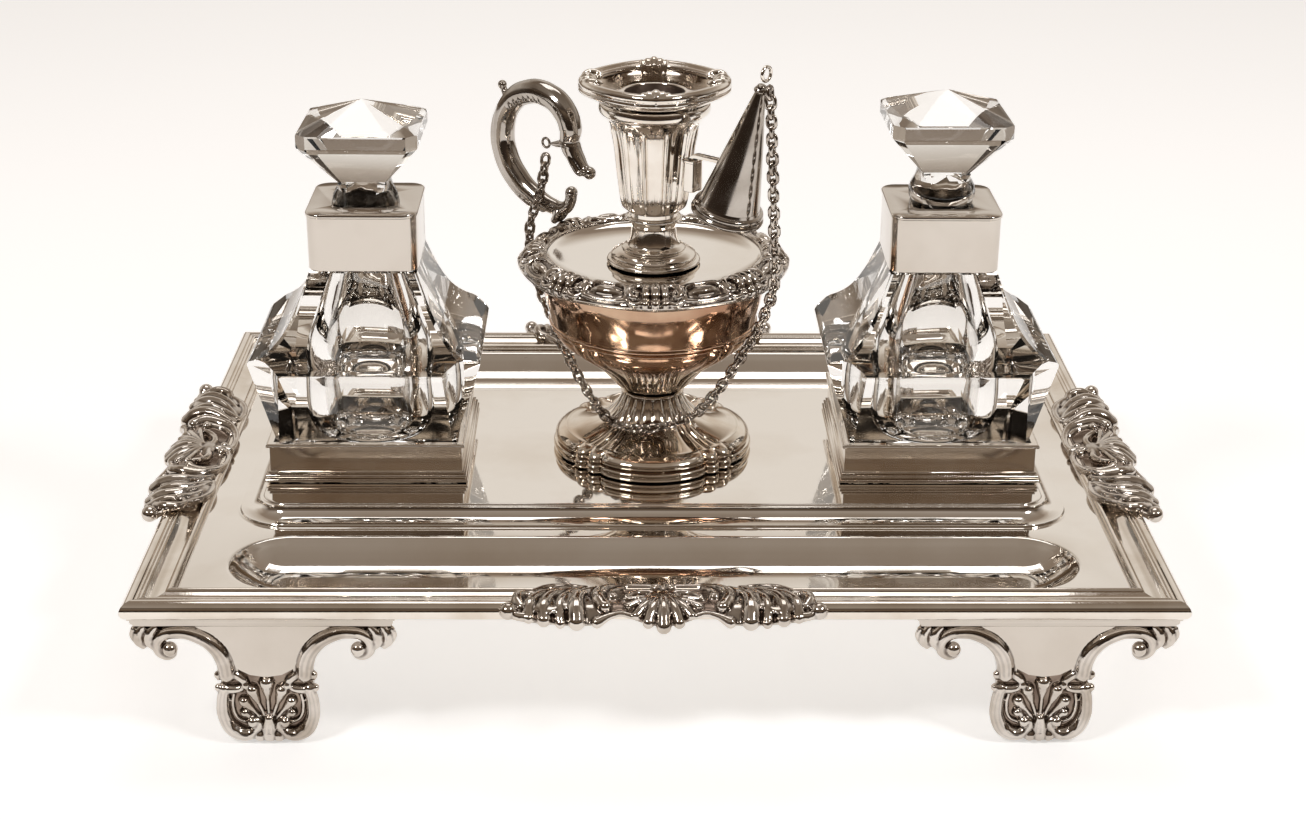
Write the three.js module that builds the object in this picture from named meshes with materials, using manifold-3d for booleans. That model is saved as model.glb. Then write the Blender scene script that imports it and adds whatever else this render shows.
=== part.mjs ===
// Silver inkstand: a tray on four feet with two glass ink bottles, a wafer pot and a chamberstick.
// Millimetres, +Z up. The origin is on the ground under the middle of the tray, the front is -Y.

import * as THREE from 'three';
import { mergeVertices } from 'three/addons/utils/BufferGeometryUtils.js';
import Module from 'manifold-3d';

const wasm = await Module();
wasm.setup();

// Driving dimensions
const gap = 0.3;                 // clearance wherever two pieces meet
const trayLength = 330;
const trayDepth = 238;
const borderWidth = 15;
const borderUnderside = 47;
const lipTop = 52.7;
const floorTop = 49.5;
const sheet = 1.6;               // thickness of the tray's sheet
const platformTop = 54.5;
const platformLength = 280;      // at the floor
const platformDepth = 117;       // at the floor
const platformCove = 8.6;        // how far the platform's edge slopes in
const troughLength = 274;
const troughWidth = 37;
const troughDepth = 8;
const troughY = 83.5;            // middle of each pen trough from the middle of the tray

const footX = 122.5;
const footFace = 113.5;          // front face of a foot from the middle of the tray
const footThickness = 7;

const ornamentLength = 102;
const ornamentSideLength = 115;
const ornamentReach = 10;        // how far a rim ornament stands out past the border

const bottleX = 98;
const galleryHalf = 33;
const galleryHeight = 14.8;
const bottleBaseHalf = 30.7;
const bottleWideHalf = 39.2;
const bottleWideHeight = 41;
const collarHalf = 18.5;
const collarBottom = 71;
const collarTop = 91;
const collarWall = 1.2;
const mouthRadius = 12.6;        // hole in the collar's top
const cornerCut = 1.9;           // diagonal reach of a cut corner, in half widths
const stopperCut = 1.76;         // the same for the stoppers

const stopperHalf = 20;
const girdleLow = 113.4;
const girdleHigh = 117.7;
const stopperTop = 125.7;
const stopperRise = { left: 0, right: 4 };  // the right stopper sits a little proud of its collar

const potFootRadius = 34.8;
const potWaistHeight = 22.5;
const potRimHeight = 66.7;
const potRimRadius = 38.6;
const studRadius = 2;

const panRadius = 37.4;
const panBorderRadius = 46.6;
const panHeight = 67.1;
const socketHeight = 125.7;
const socketMouthRadius = 18.8;
const candleRadius = 9.8;
const nozzleRadius = 25.5;

const handleAngle = 140;         // direction of the handle round the pot, degrees from +X
const handleTubeRadius = 4.2;
const snufferAngle = -40;
const coneHeight = 48.4;
const coneRadius = 11.9;
const coneTilt = 16;
const coneBaseReach = 31.1;      // middle of the cone's mouth from the pot's axis
const coneBaseHeight = 91.8;
const armHeight = 109.8;
const bracketReach = 16.4;
const chainRadius = 1.9;

const round = 24;                // sides of the round pieces

// Materials
const silver = { color: 0xc9c2b8, roughness: 0.12, metalness: 1 };
const castSilver = { color: 0xbdb3a5, roughness: 0.2, metalness: 1 };
const tarnished = { color: 0xa8917a, roughness: 0.25, metalness: 1 };
const glass = { color: 0xf2f5f4, roughness: 0.03, metalness: 0 };

const inkstand = new THREE.Group();

function addPiece(name, geometry, finish, parent = inkstand) {
  const piece = new THREE.Mesh(geometry, new THREE.MeshStandardMaterial(finish));
  piece.name = name;
  parent.add(piece);
  return piece;
}

// Booleans on closed geometries
function toSolid(geometry) {
  let plain = geometry.clone();
  plain.deleteAttribute('normal');
  plain.deleteAttribute('uv');
  plain = mergeVertices(plain, 1e-4);
  return new wasm.Manifold(new wasm.Mesh({
    numProp: 3,
    vertProperties: new Float32Array(plain.attributes.position.array),
    triVerts: new Uint32Array(plain.index.array),
  }));
}

function toGeometry(solid) {
  const mesh = solid.getMesh();
  const geometry = new THREE.BufferGeometry();
  geometry.setAttribute('position', new THREE.BufferAttribute(mesh.vertProperties, 3));
  geometry.setIndex(new THREE.BufferAttribute(mesh.triVerts, 1));
  geometry.computeVertexNormals();
  return geometry;
}

function cut(geometry, ...tools) {
  const solid = tools.reduce((rest, tool) => rest.subtract(toSolid(tool)), toSolid(geometry));
  return toGeometry(solid);
}

function join(geometry, ...others) {
  return toGeometry(others.reduce((whole, other) => whole.add(toSolid(other)), toSolid(geometry)));
}

function common(geometry, other) {
  return toGeometry(toSolid(geometry).intersect(toSolid(other)));
}

// A turned piece about +Z. The profile is [radius, height] points, outer side going up.
function turned(profile, sides = round, start = 0) {
  const points = profile.map(([radius, height]) => new THREE.Vector2(radius, height));
  return new THREE.LatheGeometry(points, sides, start).rotateX(Math.PI / 2);
}

// A square mitred piece about +Z. The profile is [half width, height] points.
function square(profile) {
  const profileToCorner = profile.map(([half, height]) => [half * Math.SQRT2, height]);
  return turned(profileToCorner, 4, Math.PI / 4);
}

// A square piece whose four corners are cut off at the given diagonal reach.
function cutCornerSquare(profile, reach = cornerCut) {
  const diagonal = turned(profile.map(([half, height]) => [half * reach, height]), 4);
  return common(square(profile), diagonal);
}

function block(length, depth, height, x, y, bottom) {
  return new THREE.BoxGeometry(length, depth, height).translate(x, y, bottom + height / 2);
}

function roundedRectangle(length, depth, corner) {
  const x = length / 2;
  const y = depth / 2;
  const shape = new THREE.Shape();
  shape.moveTo(-x + corner, -y);
  shape.lineTo(x - corner, -y);
  shape.absarc(x - corner, -y + corner, corner, -Math.PI / 2, 0);
  shape.lineTo(x, y - corner);
  shape.absarc(x - corner, y - corner, corner, 0, Math.PI / 2);
  shape.lineTo(-x + corner, y);
  shape.absarc(-x + corner, y - corner, corner, Math.PI / 2, Math.PI);
  shape.lineTo(-x, -y + corner);
  shape.absarc(-x + corner, -y + corner, corner, Math.PI, Math.PI * 1.5);
  return shape;
}

// A flat-topped mound whose edge slopes in by slope over its height.
function mound(length, depth, corner, height, slope, bottom) {
  const outline = roundedRectangle(length - 2 * slope, depth - 2 * slope, corner);
  const geometry = new THREE.ExtrudeGeometry(outline, {
    depth: 0.2,
    bevelThickness: height,
    bevelSize: slope,
    bevelSegments: 2,
    curveSegments: 4,
  });
  const top = toSolid(geometry.translate(0, 0, bottom - 0.2));
  const keep = toSolid(block(length + 2, depth + 2, height, 0, 0, bottom));
  return toGeometry(top.intersect(keep));
}

// Tray plate with its platform and its two pen troughs
function trayPlate() {
  const length = trayLength - 2 * borderWidth - 2 * gap;
  const depth = trayDepth - 2 * borderWidth - 2 * gap;
  const underside = floorTop - sheet;
  const rise = platformTop - floorTop;
  const plate = block(length, depth, sheet, 0, 0, underside);
  const platform = mound(platformLength, platformDepth, 12, rise, platformCove, floorTop);
  const troughs = [-troughY, troughY].map((y) => {
    const tub = mound(troughLength + 2 * sheet, troughWidth + 2 * sheet, 8, troughDepth, 10, 0);
    return tub.rotateX(Math.PI).translate(0, y, floorTop - sheet);
  });
  const hollows = [-troughY, troughY].map((y) => {
    const hollow = mound(troughLength, troughWidth, 7.4, troughDepth, 10, 0);
    return hollow.rotateX(Math.PI).translate(0, y, floorTop + 0.01);
  });
  const innerLength = platformLength - 2 * sheet;
  const innerDepth = platformDepth - 2 * sheet;
  const below = mound(innerLength, innerDepth, 12, rise, platformCove, underside);
  const studHole = new THREE.CylinderGeometry(studRadius + gap, studRadius + gap, 20, 12)
    .rotateX(Math.PI / 2).translate(0, 0, platformTop);
  return cut(join(plate, platform, ...troughs), ...hollows, below.translate(0, 0, -0.01), studHole);
}

// Border moulding: [distance in from the outer edge, height], going round anticlockwise
const borderProfile = [
  [1.6, borderUnderside], [borderWidth, borderUnderside], [borderWidth, 50.4], [13.9, 51.3],
  [12.6, 51.5], [11.4, 50.8], [8.4, 50.4], [5.6, 51.5], [4.6, 52.4], [2.6, lipTop],
  [0.9, 51.9], [0, 50.2], [0, 48.4],
];

// One side of the border, mitred at both ends, for the side that faces -Y
function borderBar(length, halfDepth) {
  const shape = new THREE.Shape(borderProfile.map(([inward, z]) => new THREE.Vector2(inward, z)));
  const bar = new THREE.ExtrudeGeometry(shape, { depth: 1, bevelEnabled: false });
  const place = bar.attributes.position;
  for (let i = 0; i < place.count; i += 1) {
    const inward = place.getX(i);
    const end = place.getZ(i) > 0.5 ? 1 : -1;
    const mitre = length / 2 - inward - gap / 2;
    place.setXYZ(i, end * mitre, inward - halfDepth, place.getY(i));
  }
  return bar;
}

// Rim ornament: each [distance in from the edge, height] on its back, which follows the border's face,
// with the point in front of it where the casting is at its fullest
const ornamentSection = [
  { back: [15.4, 51.4], front: [15.7, 53.2] },
  { back: [12.6, 52.2], front: [11, 55] },
  { back: [8.8, 51.8], front: [5, 56] },
  { back: [4.8, 53.2], front: [-1, 55.2] },
  { back: [1.8, 53.2], front: [-7.4, 52.6] },
  { back: [-0.3, 51.8], front: [-ornamentReach, 49.2] },
  { back: [-0.7, 48.2], front: [-8, 46.6] },
  { back: [-0.6, 46.4], front: [-2.2, 45.2] },
];

function ornament(length, halfDepth) {
  const backs = ornamentSection.map(({ back }) => new THREE.Vector2(...back));
  const fronts = ornamentSection.map(({ front }) => new THREE.Vector2(...front));
  const shape = new THREE.Shape([...backs, ...fronts.toReversed()]);
  const bar = new THREE.ExtrudeGeometry(shape, { depth: 1, steps: 10, bevelEnabled: false });
  const place = bar.attributes.position;
  for (let i = 0; i < place.count; i += 1) {
    const along = place.getZ(i) * 2 - 1;
    const point = new THREE.Vector2(place.getX(i), place.getY(i));
    const row = fronts.findIndex((front) => front.distanceTo(point) < 1e-4);
    if (row >= 0) {
      const swell = 0.22 + 0.78 * Math.max(0, Math.cos(along * Math.PI / 2)) ** 0.8;
      point.lerpVectors(backs[row], fronts[row], swell);
    }
    place.setXYZ(i, along * length / 2, point.x - halfDepth, point.y);
  }
  return bar;
}

// Cast foot, seen from the front: flange, two scroll arms and a pad
function foot() {
  const flange = borderUnderside - gap;
  const outline = new THREE.Shape();
  outline.moveTo(-9, 0);
  outline.lineTo(9, 0);
  outline.quadraticCurveTo(17, 2, 17, 12);
  outline.lineTo(16, 24);
  outline.quadraticCurveTo(17.5, 33.5, 25, 34);
  outline.quadraticCurveTo(28, 28.6, 33, 31.5);
  outline.lineTo(40.5, 34.5);
  outline.lineTo(41, flange);
  outline.lineTo(-41, flange);
  outline.lineTo(-40.5, 34.5);
  outline.lineTo(-33, 31.5);
  outline.quadraticCurveTo(-28, 28.6, -25, 34);
  outline.quadraticCurveTo(-17.5, 33.5, -16, 24);
  outline.lineTo(-17, 12);
  outline.quadraticCurveTo(-17, 2, -9, 0);
  const casting = new THREE.ExtrudeGeometry(outline, {
    depth: footThickness,
    bevelEnabled: false,
    curveSegments: 4,
  });
  return casting.rotateX(Math.PI / 2);
}

// Tray assembly
addPiece('tray_plate', trayPlate(), silver);

const sides = [
  { name: 'front', turn: 0, length: trayLength, halfDepth: trayDepth / 2, ornament: ornamentLength },
  { name: 'right', turn: 90, length: trayDepth, halfDepth: trayLength / 2, ornament: ornamentSideLength },
  { name: 'back', turn: 180, length: trayLength, halfDepth: trayDepth / 2, ornament: ornamentLength },
  { name: 'left', turn: 270, length: trayDepth, halfDepth: trayLength / 2, ornament: ornamentSideLength },
];
for (const side of sides) {
  const turn = THREE.MathUtils.degToRad(side.turn);
  const bar = addPiece(`border_${side.name}`, borderBar(side.length, side.halfDepth), silver);
  bar.rotation.z = turn;
  const shell = addPiece(`rim_ornament_${side.name}`, ornament(side.ornament, side.halfDepth), castSilver);
  shell.rotation.z = turn;
}

for (const [endName, end] of [['front', -1], ['back', 1]]) {
  for (const [sideName, side] of [['left', -1], ['right', 1]]) {
    const casting = addPiece(`foot_${endName}_${sideName}`, foot(), castSilver);
    const faceOffset = end < 0 ? footThickness : 0;
    casting.position.set(side * footX, end * footFace + faceOffset, 0);
  }
}

// Gallery that holds a bottle's base: an open square frame with bead mouldings
function gallery() {
  const inner = bottleBaseHalf + 0.8;
  return square([
    [inner, gap], [galleryHalf + 1, gap], [galleryHalf + 1.1, 1.4], [galleryHalf + 0.2, 2.1],
    [galleryHalf + 0.6, 3.2], [galleryHalf - 0.3, 4], [galleryHalf - 0.3, galleryHeight - 1.8],
    [galleryHalf + 0.2, galleryHeight - 0.9], [galleryHalf - 0.3, galleryHeight],
    [inner, galleryHeight], [inner, gap],
  ]);
}

// Glass bottle: a block that flares upward, scooped shoulders, square neck and a bell-shaped cavity
function bottle() {
  const neckHalf = collarHalf - collarWall - gap;
  const neckTop = collarTop - collarWall - gap;
  const outside = cutCornerSquare([
    [0, gap], [bottleBaseHalf, gap], [bottleBaseHalf, galleryHeight + 0.6],
    [bottleWideHalf, bottleWideHeight],
    [bottleWideHalf - 0.8, bottleWideHeight + 1.6], [31.5, 46.6], [25.8, 53], [21.4, 61.5],
    [collarHalf - 0.4, collarBottom - gap], [neckHalf, collarBottom - gap], [neckHalf, neckTop],
    [0, neckTop],
  ]);
  const cavity = turned([
    [0, 8.5], [14, 9.2], [20.5, 13], [23.4, 21], [23, 33], [20.8, 46], [16.6, 58], [12.6, 66],
    [11.6, 72], [12.4, neckTop + 1], [0, neckTop + 1],
  ]);
  return cut(outside, cavity);
}

function collar() {
  const outside = cutCornerSquare([
    [0, collarBottom], [collarHalf, collarBottom], [collarHalf, collarTop], [0, collarTop],
  ]);
  const inside = cutCornerSquare([
    [0, collarBottom - 1], [collarHalf - collarWall, collarBottom - 1],
    [collarHalf - collarWall, collarTop - collarWall], [0, collarTop - collarWall],
  ]);
  const mouth = turned([
    [0, collarTop - 3], [mouthRadius, collarTop - 3], [mouthRadius, collarTop + 1], [0, collarTop + 1],
  ]);
  return cut(outside, inside, mouth);
}

// Glass stopper: pyramid top, thin girdle, tapering underside and a round peg
function stopper() {
  const head = cutCornerSquare([
    [0, 92], [9.6, 92.6], [7.8, 98.8], [stopperHalf, girdleLow], [stopperHalf, girdleHigh], [0, stopperTop],
  ], stopperCut);
  const peg = turned([[0, 75], [9.8, 75], [10.6, 76], [11.4, 91.6], [10.2, 94.6], [0, 94.6]]);
  return join(head, peg);
}

for (const [sideName, side] of [['left', -1], ['right', 1]]) {
  const station = new THREE.Group();
  station.position.set(side * bottleX, 0, platformTop);
  inkstand.add(station);
  addPiece(`gallery_${sideName}`, gallery(), silver, station);
  addPiece(`bottle_${sideName}`, bottle(), glass, station);
  addPiece(`collar_${sideName}`, collar(), silver, station);
  const plug = addPiece(`stopper_${sideName}`, stopper(), glass, station);
  plug.position.z = stopperRise[sideName];
}

// Wafer pot: spun foot, bowl, and the stud and nut that hold it to the platform
const pot = new THREE.Group();
pot.position.z = platformTop;
inkstand.add(pot);

addPiece('pot_foot', turned([
  [0, potWaistHeight - 1.6], [8.6, potWaistHeight - 1.6], [8.4, 19], [9.6, 16.4], [13, 12.4],
  [18.6, 8.6], [25.6, 5.6], [32.4, 2.6], [32.8, gap], [potFootRadius - 0.4, gap],
  [potFootRadius, 1.6], [33.6, 3.6], [27, 6.8], [19.6, 10.2], [14.4, 14.2], [11, 18],
  [10, 20.8], [10.2, potWaistHeight], [0, potWaistHeight],
]), tarnished, pot);

const bowlBottom = potWaistHeight + gap;
addPiece('pot_bowl', turned([
  [0, bowlBottom], [10, bowlBottom], [14.7, 25.2], [17.8, 31], [22.6, 36.2], [28.7, 41.5],
  [32.8, 46], [34.6, 49.4], [35, 53.4], [36.8, 57.4], [potRimRadius - 0.6, 60.4],
  [potRimRadius, 64], [potRimRadius, potRimHeight], [potRimRadius - 1.2, potRimHeight],
  [36.6, 60.8], [35.6, 58], [33.8, 53.8], [33.2, 49.8], [31.4, 46.8], [27.6, 42.6], [21.6, 37.4],
  [16.6, 32], [13.2, 27.6], [0, 26],
]), tarnished, pot);

const studTop = potWaistHeight - 1.6 - gap;
addPiece('pot_stud', turned([
  [0, -8], [studRadius - 0.4, -8], [studRadius, -7.4], [studRadius, studTop], [0, studTop],
], 12), silver, pot);

const nutTop = -sheet - 0.01 - gap;
const nutHole = (studRadius + gap) / Math.cos(Math.PI / 6);
addPiece('pot_nut', turned([
  [nutHole, nutTop - 3.2], [4.6, nutTop - 3.2], [4.6, nutTop], [nutHole, nutTop], [nutHole, nutTop - 3.2],
], 6), silver, pot);

// Chamberstick: the pan closes the pot, its bezel drops inside the rim
addPiece('drip_pan', turned([
  [0, panHeight + 0.5], [34.6, panHeight + 0.5], [34.6, 61.5], [35.8, 61.5], [35.8, panHeight],
  [36.6, panHeight], [panRadius, 68.6], [panRadius, 70.7], [panRadius - 0.6, 71], [panRadius - 2.4, 68.9],
  [0, 68.9],
]), silver, pot);

addPiece('pan_border', turned([
  [panRadius + 0.4, 69.4], [40.6, 67.6], [45.2, 66.9], [panBorderRadius, 68.4],
  [45.6, 71], [43, 72.6], [40, 73], [panRadius + 0.4, 71.8], [panRadius + 0.4, 69.4],
]), castSilver, pot);

addPiece('candle_socket', turned([
  [0, 69.2], [15.7, 69.2], [15.7, 70.4], [13.4, 72.2], [9.8, 73.6], [8.6, 75.5], [7.7, 78],
  [7.6, 84.5], [8.6, 86], [8.2, 87.6], [9.2, 89.5], [10.9, 96.4], [12.2, 104], [13.2, 110.7],
  [15, 117.5], [17.2, 121.4], [socketMouthRadius, 124.9], [socketMouthRadius - 0.2, socketHeight],
  [17.4, socketHeight], [15.6, 121.6], [13, 116.8], [11.2, 113.6], [11.2, 100], [0, 100],
]), silver, pot);

addPiece('nozzle', turned([
  [candleRadius + 0.9, 103], [candleRadius + 0.9, 124.8], [14, socketHeight + gap],
  [socketMouthRadius, socketHeight + gap], [22.4, 129], [25, 131.2], [nozzleRadius, 133],
  [24.4, 134.6], [22.2, 133.4], [17, 131], [candleRadius, 130.6], [candleRadius, 103],
  [candleRadius + 0.9, 103],
]), silver, pot);

// A round tube bent along a curve in the XZ plane, with its radius given along it
function bentTube(curve, radiusAt, sideCount, steps) {
  const tube = new THREE.CylinderGeometry(1, 1, 1, sideCount, steps);
  const place = tube.attributes.position;
  for (let i = 0; i < place.count; i += 1) {
    const along = THREE.MathUtils.clamp(place.getY(i) + 0.5, 0, 1);
    const middle = curve.getPoint(along);
    const tangent = curve.getTangent(along);
    const radius = radiusAt(along);
    const across = place.getX(i) * radius;
    place.setXYZ(i, middle.x - tangent.y * across, place.getZ(i) * radius, middle.y + tangent.x * across);
  }
  return tube;
}

// C-scroll handle in its own upright plane: leaf head, sweep, then the turned-up lower scroll
const handleRoute = [
  [28.7, 94.5], [34.4, 98.4], [38, 103], [37.8, 109], [41, 115], [47.6, 118.8], [56.7, 118.7],
  [65.4, 113.4], [69.4, 103.1], [68, 94], [62.9, 86.8], [55, 81.6], [47, 79.2], [41, 79.4],
  [38, 82.6], [37.5, 86],
];
const handleCurve = new THREE.SplineCurve(handleRoute.map(([x, z]) => new THREE.Vector2(x, z)));

function handleRadius(along) {
  const swell = Math.sin(Math.PI * THREE.MathUtils.clamp((along - 0.08) / 0.8, 0, 1));
  return 2.2 + (handleTubeRadius - 2.2) * swell ** 0.6;
}

const chamberstick = new THREE.Group();
chamberstick.rotation.z = THREE.MathUtils.degToRad(handleAngle);
pot.add(chamberstick);

const handleFoot = turned([[0, 73.4], [2.6, 73.4], [2.2, 79], [0, 79]], 10).translate(43.6, 0, 0);
const eyeReach = 49.1;
const eyeHeight = 101.8;
const eyeBoss = new THREE.CylinderGeometry(0.9, 1.3, 6.4, 8).rotateZ(-Math.PI / 2)
  .rotateX(Math.PI / 2).translate(43.4, 0, eyeHeight);
const sweep = bentTube(handleCurve, handleRadius, 10, 30);
addPiece('handle', join(sweep, handleFoot, eyeBoss), castSilver, chamberstick);

const chainEye = addPiece('chain_eye', new THREE.TorusGeometry(1.6, 0.5, 6, 14), castSilver, chamberstick);
chainEye.rotation.x = Math.PI / 2;
chainEye.position.set(eyeReach, 0, eyeHeight);

// Extinguisher, in the upright plane opposite the handle
const snuffer = new THREE.Group();
snuffer.rotation.z = THREE.MathUtils.degToRad(snufferAngle);
pot.add(snuffer);

const armBottom = 102.4;
const armReach = 28;
const bracketBottom = 97.5;
const bracketHeight = 11;
addPiece('snuffer_bracket', cut(
  block(4.8, 5.8, bracketHeight, bracketReach, 0, bracketBottom),
  block(2.6, 4.2, bracketHeight + 2, bracketReach, 0, bracketBottom - 1),
), silver, snuffer);

const cone = addPiece('extinguisher_cone', turned([
  [0, 42.6], [9.3, 5], [10.2, 0], [11.2, 0], [coneRadius, 0.8], [coneRadius, 2.2], [10.8, 3.2],
  [10.4, 5], [1.7, coneHeight - 2.2], [2, coneHeight - 1.2], [1.4, coneHeight - 0.2], [0, coneHeight],
]), silver, snuffer);
cone.rotation.y = THREE.MathUtils.degToRad(coneTilt);
cone.position.set(coneBaseReach, 0, coneBaseHeight);

const armShape = new THREE.Shape();
armShape.moveTo(bracketReach - 0.8, armBottom);
armShape.lineTo(bracketReach + 0.8, armBottom);
armShape.lineTo(bracketReach + 0.8, armHeight - 0.9);
armShape.lineTo(armReach - 0.9, armHeight - 0.9);
armShape.lineTo(armReach, armHeight + 0.9);
armShape.lineTo(bracketReach, armHeight + 0.9);
armShape.lineTo(bracketReach - 0.8, armHeight);
const armWidth = 3.2;
const arm = new THREE.ExtrudeGeometry(armShape, { depth: armWidth, bevelEnabled: false })
  .rotateX(Math.PI / 2).translate(0, armWidth / 2, 0);
addPiece('extinguisher_arm', arm, silver, snuffer);

const tipEye = addPiece('extinguisher_eye', new THREE.TorusGeometry(2.3, 0.65, 6, 14), silver, snuffer);
tipEye.position.set(45.9, 0, 142.1);
tipEye.rotation.x = Math.PI / 2;

// Chain from the handle's eye, outside the pan and round the front of the pot's stem, to the tip eye
const chainRoute = [
  [-37.7, 31.7, 97.6], [-38.4, 30.4, 92], [-40, 28.4, 84], [-42.8, 26.4, 76], [-43.6, 24.8, 70],
  [-42.6, 21, 61], [-40.2, 17.2, 53], [-36.4, 13.8, 45], [-32.6, 10.2, 35.5], [-27.4, 5.9, 26],
  [-22.4, 0.6, 19], [-17.5, -6.5, 14.6], [-11, -15.2, 13.4], [-1, -18.8, 14], [9.2, -20.6, 17.5],
  [16, -21.9, 22.3], [23.3, -23.7, 32.4], [30.8, -25.5, 45.9], [35.8, -27.6, 57], [38.6, -29.6, 66],
  [39.6, -30.6, 74], [39, -31.4, 90], [37.9, -32.4, 110], [36.9, -32.6, 128], [36.1, -31.4, 138.4],
];
const chainCurve = new THREE.CatmullRomCurve3(chainRoute.map(([x, y, z]) => new THREE.Vector3(x, y, z)));
const chainSides = 8;
const section = new THREE.Shape(Array.from({ length: chainSides }, (_, i) => {
  const angle = (i / chainSides) * Math.PI * 2;
  return new THREE.Vector2(Math.cos(angle), Math.sin(angle)).multiplyScalar(chainRadius);
}));
const chainTube = new THREE.ExtrudeGeometry(section, { steps: 70, extrudePath: chainCurve });
addPiece('chain', chainTube, castSilver, pot);

export default inkstand;
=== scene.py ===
import math

import bmesh
import bpy
from mathutils import Matrix, Vector
from mathutils.kdtree import KDTree


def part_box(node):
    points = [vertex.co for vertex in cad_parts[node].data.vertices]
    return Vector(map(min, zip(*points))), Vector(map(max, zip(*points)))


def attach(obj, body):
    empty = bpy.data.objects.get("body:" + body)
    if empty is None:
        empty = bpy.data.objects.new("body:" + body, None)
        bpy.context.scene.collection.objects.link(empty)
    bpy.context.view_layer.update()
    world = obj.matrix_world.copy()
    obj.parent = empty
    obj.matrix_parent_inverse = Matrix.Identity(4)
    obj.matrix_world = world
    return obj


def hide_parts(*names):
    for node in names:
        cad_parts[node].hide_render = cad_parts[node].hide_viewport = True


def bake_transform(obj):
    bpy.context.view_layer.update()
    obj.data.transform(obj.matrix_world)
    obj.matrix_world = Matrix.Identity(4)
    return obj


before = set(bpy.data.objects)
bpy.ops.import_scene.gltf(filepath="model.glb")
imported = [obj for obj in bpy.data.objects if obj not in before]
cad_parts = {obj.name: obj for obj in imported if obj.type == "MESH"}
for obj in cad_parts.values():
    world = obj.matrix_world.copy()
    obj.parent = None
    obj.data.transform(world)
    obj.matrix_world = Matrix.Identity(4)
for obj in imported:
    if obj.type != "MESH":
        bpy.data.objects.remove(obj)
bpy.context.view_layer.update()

mm = 0.001
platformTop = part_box("gallery_left")[0][2] / mm - 0.3
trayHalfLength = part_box("border_front")[1][0] / mm + 0.15
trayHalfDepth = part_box("border_left")[1][1] / mm + 0.15
bottleX = (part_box("bottle_right")[0][0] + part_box("bottle_right")[1][0]) / 2 / mm
print("frame loaded, platform at", round(platformTop, 2), "mm")


# small tools for the work below, all lengths in millimetres

def clearSelection():
    if bpy.context.object and bpy.context.object.mode != "OBJECT":
        bpy.ops.object.mode_set(mode="OBJECT")
    bpy.ops.object.select_all(action="DESELECT")


def editWhole():
    bpy.ops.object.mode_set(mode="EDIT")
    bpy.ops.mesh.select_all(action="SELECT")


def pick(*pieces):
    clearSelection()
    for piece in pieces:
        piece.select_set(True)
    bpy.context.view_layer.objects.active = pieces[0]


def smoothLine(points, steps=6):
    # a soft line through given points, which keeps the first and the last
    ends = [points[0], *points, points[-1]]
    line = []
    for before, start, stop, after in zip(ends, ends[1:], ends[2:], ends[3:]):
        for step in range(steps):
            t = step / steps
            line.append(tuple(
                0.5 * (2 * b + (c - a) * t + (2 * a - 5 * b + 4 * c - d) * t * t
                       + (3 * b - a - 3 * c + d) * t ** 3)
                for a, b, c, d in zip(before, start, stop, after)))
    return [*line, tuple(points[-1])]


def softProfile(*stretches, steps=6):
    # stretches of curve that meet at crisp corners
    line = []
    for stretch in stretches:
        line += smoothLine(stretch, steps) if len(stretch) > 2 else list(stretch)
    return [spot for i, spot in enumerate(line) if i == 0 or math.dist(spot, line[i - 1]) > 1e-4]


def loftRings(name, rings, capFirst=False, capLast=False, smoothAngle=32):
    # one loop of vertices is extruded from ring to ring
    clearSelection()
    bpy.ops.mesh.primitive_circle_add(vertices=len(rings[0]), radius=1, location=(0, 0, 0))
    piece = bpy.context.object
    piece.name = piece.data.name = name
    editWhole()
    edit = bmesh.from_edit_mesh(piece.data)
    for vert, spot in zip(edit.verts, rings[0]):
        vert.co = Vector(spot) * mm
    current = rings[0]
    if capFirst:
        bpy.ops.mesh.edge_face_add()
    for ring in rings[1:]:
        bpy.ops.mesh.extrude_edges_move()
        finder = KDTree(len(current))
        for i, spot in enumerate(current):
            finder.insert(Vector(spot) * mm, i)
        finder.balance()
        edit = bmesh.from_edit_mesh(piece.data)
        for vert in edit.verts:
            if vert.select:
                vert.co = Vector(ring[finder.find(vert.co)[1]]) * mm
        current = ring
    if capLast:
        bpy.ops.mesh.edge_face_add()
    bpy.ops.mesh.select_all(action="SELECT")
    bpy.ops.mesh.remove_doubles(threshold=0.002 * mm)
    bpy.ops.mesh.normals_make_consistent(inside=False)
    bpy.ops.object.mode_set(mode="OBJECT")
    smoothByAngle(piece, smoothAngle)
    return piece


def smoothByAngle(piece, degrees):
    pick(piece)
    bpy.ops.object.shade_smooth_by_angle(angle=math.radians(degrees))


def turnedRings(profile, count, wave=None, lift=None, centre=(0, 0), height=platformTop):
    # wave(angle, radius, z) and lift(angle, radius, z) give the change of radius and of height in mm
    rings = []
    for radius, z in profile:
        ring = []
        for i in range(count):
            angle = 2 * math.pi * i / count
            reach = max(radius + (wave(angle, radius, z) if wave else 0), 0.02)
            rise = z + height + (lift(angle, radius, z) if lift else 0)
            ring.append((centre[0] + reach * math.cos(angle), centre[1] + reach * math.sin(angle), rise))
        rings.append(ring)
    return rings


def roundedPath(halfX, halfY, corner, cornerSteps=10):
    # (x, y, outward x, outward y) round a rounded rectangle
    path = []
    for turn, (sx, sy) in enumerate(((1, 1), (-1, 1), (-1, -1), (1, -1))):
        for step in range(cornerSteps + 1):
            angle = (turn + step / cornerSteps) * math.pi / 2
            out = (math.cos(angle), math.sin(angle))
            spot = (sx * (halfX - corner) + corner * out[0], sy * (halfY - corner) + corner * out[1])
            path.append((*spot, *out))
    return path


def framePath(halfX, halfY):
    return [(halfX, halfY, 1, 1), (-halfX, halfY, -1, 1), (-halfX, -halfY, -1, -1), (halfX, -halfY, 1, -1)]


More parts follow.
